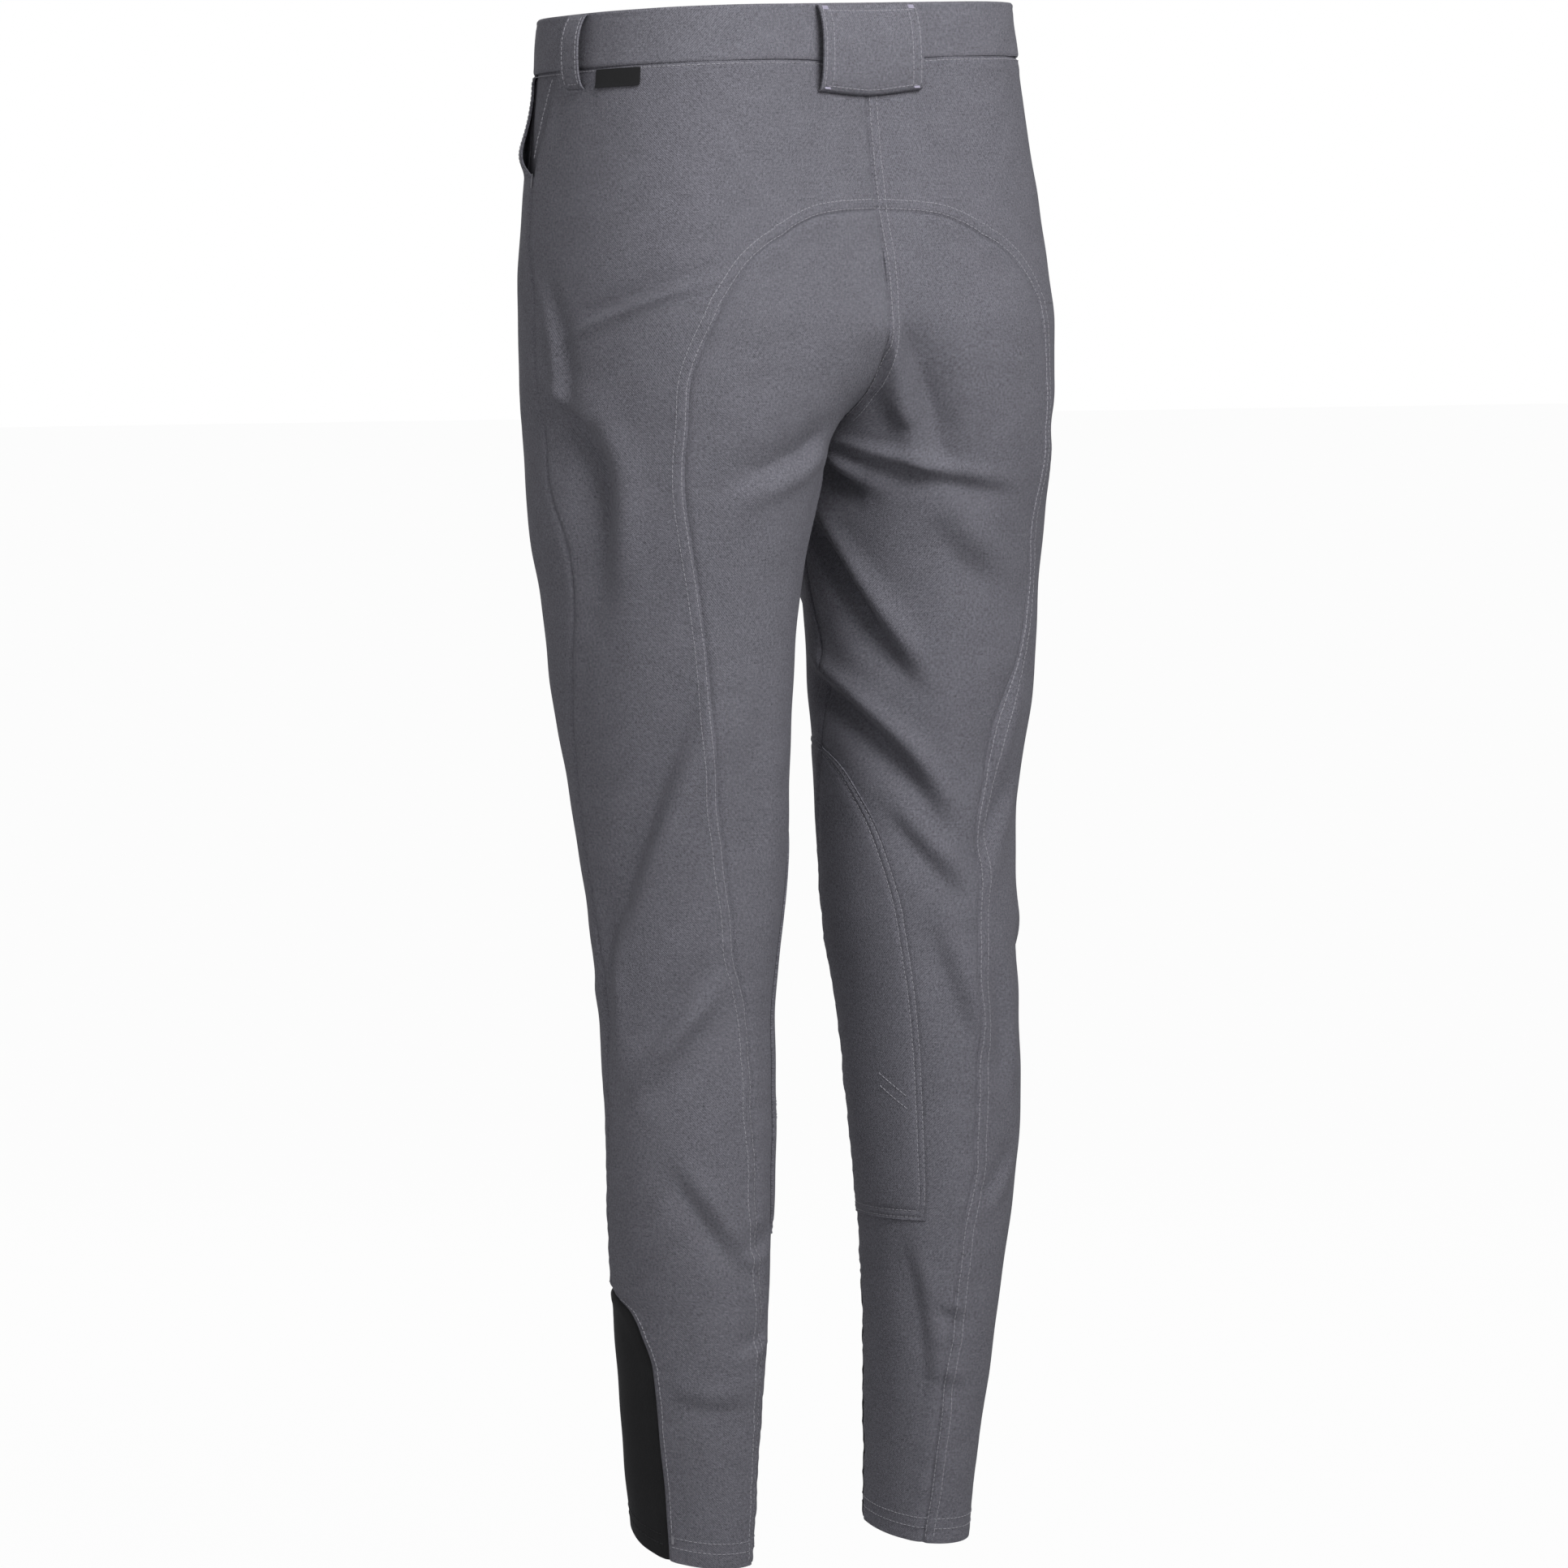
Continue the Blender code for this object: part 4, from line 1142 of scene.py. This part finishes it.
def patch_rows(leg):
    """Two rows down the sides and across the foot of the patch, and two darts at each side."""
    back_edge, front_edge_at = patch_edge("back"), patch_edge("front")
    side_z = even(PATCH_TOP - 6, PATCH_FOOT + 8, 1.5)
    bars = []
    for gap in PATCH_ROWS:
        bars += stitch_row(leg, back_edge(side_z) + gap, side_z, patch_lift)
        bars += stitch_row(leg, front_edge_at(side_z) - gap, side_z, patch_lift)
    for gap in reversed(PATCH_ROWS):
        foot = PATCH_FOOT + gap
        around = even(back_edge(foot) + 7, front_edge_at(foot) - 7, 0.8)
        bars += stitch_row(leg, around, foot, patch_lift)
    run = even(0, 1, 0.02)
    for drop in (0.0, 8.0):
        dart_z = -652 - 15 * run - drop
        bars += stitch_row(leg, 164 - 21 * run, dart_z, patch_lift)
        bars += stitch_row(leg, 260 + 21 * run, dart_z, patch_lift)
    return bars


def centre_side(leg, z):
    """Which way a row has to move to go from the centre seam onto this leg."""
    turn = offset_path(leg, np.full(len(z), 170.0), z, 1.0)[0]
    return 1 if turn.mean() < 170 else -1


def centre_back_rows(leg):
    z = even(WAIST_SEAM - 3, CROTCH + 22, 1.2)
    turn = np.full(len(z), CENTRE_TURN - 0.1)
    bars = []
    for gap in CENTRE_ROWS:
        moved = offset_path(leg, turn, z, centre_side(leg, z) * gap)
        bars += stitch_row(leg, *moved, 0.12)
    return bars


def fly_rows(leg):
    z = even(WAIST_SEAM - 3, FLY_FOOT + 5, 1.0)
    bars = []
    for gap in (0.0, 2.6):
        bars += stitch_row(leg, -CENTRE_TURN + (fly_foot(z) - gap) * FLY_ROW, z, 1.65)
    return bars


def leg_stitches(leg):
    """Every visible row of stitching on one half, apart from those on the black knit."""
    bars = stitch_row(leg, even(-179, 179, 0.6), WAIST_SEAM - 1.9, 0.1)
    bars += seat_rows(leg) + hem_and_shin_rows(leg) + pocket_rows(leg) + patch_rows(leg)
    bars += centre_back_rows(leg) if leg == "right" else fly_rows(leg)
    bars += bar_tack(leg, curve_turn(POCKET_MOUTH, POCKET_FOOT) - 1, POCKET_FOOT - 2, 0.3, 9.0, 2.2)
    return bars + bar_tack(leg, curve_turn(SHIN_EDGE, HEM + 14) + 5, HEM + 14, 0.2, 8.0, 2.0)


def knit_stitches(leg):
    """The hem's rows across the shin panel, in dark thread."""
    around = even(SHIN_INNER_TURN + 2, curve_turn(SHIN_EDGE, HEM) - 3, 0.8)
    return [bar for height in HEM_ROWS for bar in stitch_row(leg, around, height)]


def loop_stitches(stations, foot, gap, inset):
    """Rows down both sides of a loop, a row across its head and foot, and tacks at its ends."""
    placed, ways, t = loop_grid(stations, foot, gap)
    count = len(stations)
    run = np.concatenate([[0], np.cumsum(np.linalg.norm(np.diff(placed[:, 4], axis=0), axis=1))])
    bars, tacks = [], []

    def line_at(distance):
        k = np.interp(distance, run, np.arange(count))
        low = int(min(k, count - 2))
        mix = k - low
        return placed[low] * (1 - mix) + placed[low + 1] * mix, ways[low]

    for distance in inset:
        for at in (distance, run[-1] - distance):
            points, out = line_at(at)
            bars += path_bars(points[3:-3], out[3:-3])
    for share in (0.07, 0.94):
        k = int(np.searchsorted(t, share))
        bars += path_bars(placed[2:-2, k], ways[2:-2, k])
    for at in (inset[-1] * 0.6, run[-1] - inset[-1] * 0.6):
        points, out = line_at(at)
        way = unit(points[4] - points[3])
        for k in (3, -4):
            reach = unit(np.cross(out[k], way)) * 2.2
            for step in range(-2, 3):
                middle = points[k] + way * step * TACK_PITCH
                tacks.append((middle - reach, middle + reach, out[k]))
    return bars, tacks


# ---- Materials ----

def node(tree, kind, **values):
    made = tree.nodes.new(kind)
    for name, value in values.items():
        setattr(made, name, value)
    return made


def wired(tree, source, target):
    tree.links.new(source, target)


def maths(tree, operation, a, b=None):
    made = node(tree, "ShaderNodeMath", operation=operation)
    for socket, value in zip(made.inputs, (a, b)):
        if value is None:
            continue
        if isinstance(value, (int, float)):
            socket.default_value = value
        else:
            wired(tree, value, socket)
    return made.outputs[0]


def stretched_noise(tree, place, scale, size, detail=2.0):
    mapping = node(tree, "ShaderNodeMapping")
    mapping.inputs["Scale"].default_value = scale
    wired(tree, place, mapping.inputs["Vector"])
    noise = node(tree, "ShaderNodeTexNoise")
    noise.inputs["Scale"].default_value = size
    noise.inputs["Detail"].default_value = detail
    wired(tree, mapping.outputs[0], noise.inputs["Vector"])
    return noise.outputs["Fac"]


def woven(name, colour, roughness, sheen, pitch_mm, twill, mottle, bump_mm, lean=1.0):
    """Cloth with diagonal twill lines of this pitch, uneven yarns and a soft sheen."""
    material = bpy.data.materials.new(name)
    material.use_nodes = True
    tree = material.node_tree

    def plus(a, b):
        return maths(tree, "ADD", a, b)

    def times(a, b):
        return maths(tree, "MULTIPLY", a, b)

    shader = tree.nodes["Principled BSDF"]
    for socket, value in (("Roughness", roughness), ("Specular IOR Level", 0.18),
                          ("Sheen Weight", sheen), ("Sheen Roughness", 0.45),
                          ("Sheen Tint", (0.86, 0.86, 0.95, 1))):
        shader.inputs[socket].default_value = value
    where = node(tree, "ShaderNodeUVMap", uv_map="cloth").outputs[0]
    split = node(tree, "ShaderNodeSeparateXYZ")
    wired(tree, where, split.inputs[0])
    yarn = stretched_noise(tree, where, (1.0, 1.0, 1.0), 1350.0)
    lines_per_metre = 2 * math.pi / (pitch_mm * MM)
    diagonal = times(plus(split.outputs[0], times(split.outputs[1], lean)), lines_per_metre * 0.72)
    wave = maths(tree, "SINE", plus(diagonal, times(yarn, 3.2)))
    slub = stretched_noise(tree, where, (1.0, 0.42, 1.0), 880.0)
    cross = stretched_noise(tree, where, (0.5, 1.0, 1.0), 980.0)
    cloud = stretched_noise(tree, where, (1.0, 1.0, 1.0), 60.0, 3.0)
    tone = times(wave, twill)
    for part, share in ((slub, 0.8), (cross, 0.8), (cloud, 0.22), (yarn, 1.0)):
        tone = plus(tone, times(maths(tree, "SUBTRACT", part, 0.5), mottle * share))
    mix = node(tree, "ShaderNodeVectorMath", operation="SCALE")
    mix.inputs[0].default_value = colour
    wired(tree, plus(tone, 1.0), mix.inputs["Scale"])
    wired(tree, mix.outputs[0], shader.inputs["Base Color"])
    bump = node(tree, "ShaderNodeBump")
    bump.inputs["Strength"].default_value = 0.55
    bump.inputs["Distance"].default_value = bump_mm * MM
    wired(tree, plus(times(wave, 0.3), plus(slub, times(cross, 0.7))), bump.inputs["Height"])
    wired(tree, bump.outputs[0], shader.inputs["Normal"])
    return material


def plain(name, colour, roughness, specular=0.3):
    material = bpy.data.materials.new(name)
    material.use_nodes = True
    shader = material.node_tree.nodes["Principled BSDF"]
    shader.inputs["Base Color"].default_value = (*colour, 1)
    shader.inputs["Roughness"].default_value = roughness
    shader.inputs["Specular IOR Level"].default_value = specular
    return material


# Name, colour, roughness, sheen, twill pitch in mm, strength of the twill and of the mottle, bump
TWILL = woven("breeches twill", (0.130, 0.128, 0.149), 0.92, 0.05, 1.1, 0.13, 1.25, 0.45)
BAND_TWILL = woven("breeches band twill", (0.140, 0.138, 0.160), 0.92, 0.05, 1.1, 0.13, 1.2,
                   0.45)
STRETCH = woven("breeches stretch knit", (0.0105, 0.0105, 0.0115), 0.75, 0.05, 0.7, 0.25, 0.5,
                0.12, lean=0.0)
TAPE = woven("breeches tape", (0.013, 0.013, 0.014), 0.6, 0.05, 0.5, 0.2, 0.3, 0.08, lean=0.0)
BUTTON = plain("breeches button", (0.075, 0.075, 0.085), 0.38, 0.5)
THREAD = plain("breeches thread", (0.285, 0.28, 0.31), 0.75, 0.2)
DARK_THREAD = plain("breeches dark thread", (0.022, 0.022, 0.024), 0.7, 0.25)
TACK_THREAD = plain("breeches tack thread", (0.36, 0.34, 0.43), 0.65, 0.25)


# ---- The garment ----

def sheet(piece, slot, node_name):
    """A piece that is one sheet of cloth, put under the root body in place of its imported node."""
    stands_for(piece, slot, node_name)


def rows_of(name, bars, material, slot):
    stands_for(bead_mesh(name, bars, THREAD_WIDTH, THREAD_HEIGHT, material), slot)


def build_legs():
    for leg in SIDES:
        for panel, (maker, slot) in PANELS.items():
            sheet(maker(leg), slot, f"{leg}_{panel}")
        rows_of(leg + "_stitching", leg_stitches(leg), THREAD, "twill")
        rows_of(leg + "_knit_stitching", knit_stitches(leg), DARK_THREAD, "stretch")


def build_waist():
    sheet(waistband(), "twill", "waistband")
    sheet(fly_placket(), "twill", "fly_placket")
    wide = (wide_stations(), WIDE_LOOP_FOOT, 2 * SEAM_GAP)
    sheet(belt_loop("back_loop", *wide), "twill", "back_loop")
    bars, tacks = loop_stitches(*wide, (2.0, 7.5))
    for leg in SIDES:
        for place in NARROW_LOOPS:
            name = f"{leg}_{place.name}_loop"
            narrow = (narrow_stations(leg, place), NARROW_LOOP_FOOT, SEAM_GAP)
            sheet(belt_loop(name, *narrow), "twill", name)
            bars += loop_stitches(*narrow, (1.8,))[0]
    rows_of("loop_stitching", bars, THREAD, "twill")
    stands_for(bead_mesh("loop_tacks", tacks, 0.6, 0.5, TACK_THREAD), "twill")
    sheet(blank_tab(), "tape", "side_tab")
    button, thread = waist_button()
    stands_for(button, "button", "waist_button")
    stands_for(thread, "twill")


# ---- The studio ----
VIEW_SIDE = 34
VIEW_RISE = 3.95
VIEW_HEIGHT = -0.472
VIEW_DISTANCE = 5.0
LENS = 182.7
SENSOR = 36
AIM = (0, 0, -0.42)
FLOOR_HEIGHT = -1.06
FLOOR_SIZE = 60
FLOOR_WHITE = 0.97
WORLD_LIGHT = 0.33
# Square lamps: degrees round from straight behind and up, and metres from (0, 0, height)
Lamp = namedtuple("Lamp", "name side up distance height size energy")
LAMPS = (
    Lamp("key", 5, 36, 2.1, -0.30, 1.0, 44),
    Lamp("fill", 52, 6, 3.0, VIEW_HEIGHT, 1.6, 11),
    Lamp("front", 205, 22, 2.6, VIEW_HEIGHT, 1.5, 24),
    Lamp("side", 112, 12, 2.8, VIEW_HEIGHT, 1.4, 7),
)


def toward(side, up):
    """The way from the garment toward a place, in degrees round from straight behind and up."""
    side, up = math.radians(side), math.radians(up)
    return Vector((math.sin(side) * math.cos(up), math.cos(side) * math.cos(up), math.sin(up)))


def placed_facing(name, data, place, way):
    """A camera or lamp at a place, looking along a way."""
    thing = bpy.data.objects.new(name, data)
    thing.location = place
    thing.rotation_euler = way.to_track_quat("-Z", "Y").to_euler()
    bpy.context.scene.collection.objects.link(thing)
    return thing


def camera():
    data = bpy.data.cameras.new("camera")
    data.lens = LENS
    data.sensor_width = SENSOR
    way = toward(VIEW_SIDE, VIEW_RISE)
    place = Vector((0, 0, VIEW_HEIGHT)) + way * VIEW_DISTANCE
    bpy.context.scene.camera = placed_facing("camera", data, place, -way)


def lamps():
    for lamp in LAMPS:
        data = bpy.data.lights.new(lamp.name, "AREA")
        data.shape = "SQUARE"
        data.size = lamp.size
        data.energy = lamp.energy
        place = toward(lamp.side, lamp.up) * lamp.distance + Vector((0, 0, lamp.height))
        placed_facing(lamp.name, data, place, Vector(AIM) - place)


def seen_by_camera(tree, share, unseen, seen, output):
    """Shows seen to the camera by this share, and leaves unseen to throw the light."""
    path = node(tree, "ShaderNodeLightPath")
    mix = node(tree, "ShaderNodeMixShader")
    wired(tree, maths(tree, "MULTIPLY", path.outputs["Is Camera Ray"], share), mix.inputs[0])
    wired(tree, unseen, mix.inputs[1])
    wired(tree, seen, mix.inputs[2])
    wired(tree, mix.outputs[0], output.inputs["Surface"])


def floor():
    """A wide floor that looks white but throws only a little light up at the cloth."""
    bpy.ops.mesh.primitive_plane_add(size=FLOOR_SIZE, location=(0, 0, FLOOR_HEIGHT))
    piece = bpy.context.object
    piece.name = "floor"
    pale = plain("floor", (0.42, 0.42, 0.42), 0.95, 0.0)
    tree = pale.node_tree
    white = node(tree, "ShaderNodeEmission")
    white.inputs["Strength"].default_value = 1.0
    seen_by_camera(tree, FLOOR_WHITE, tree.nodes["Principled BSDF"].outputs[0], white.outputs[0],
                   tree.nodes["Material Output"])
    piece.data.materials.append(pale)


def surroundings():
    """White to the camera, dimmer as a light."""
    world = bpy.data.worlds.new("studio")
    bpy.context.scene.world = world
    world.use_nodes = True
    tree = world.node_tree
    dim, white = tree.nodes["Background"], node(tree, "ShaderNodeBackground")
    for background, strength in ((dim, WORLD_LIGHT), (white, 1.0)):
        background.inputs["Color"].default_value = (1, 1, 1, 1)
        background.inputs["Strength"].default_value = strength
    seen_by_camera(tree, 1.0, dim.outputs[0], white.outputs[0], tree.nodes["World Output"])


build_legs()
build_waist()
camera()
lamps()
floor()
surroundings()
bpy.context.scene.view_settings.view_transform = "Standard"
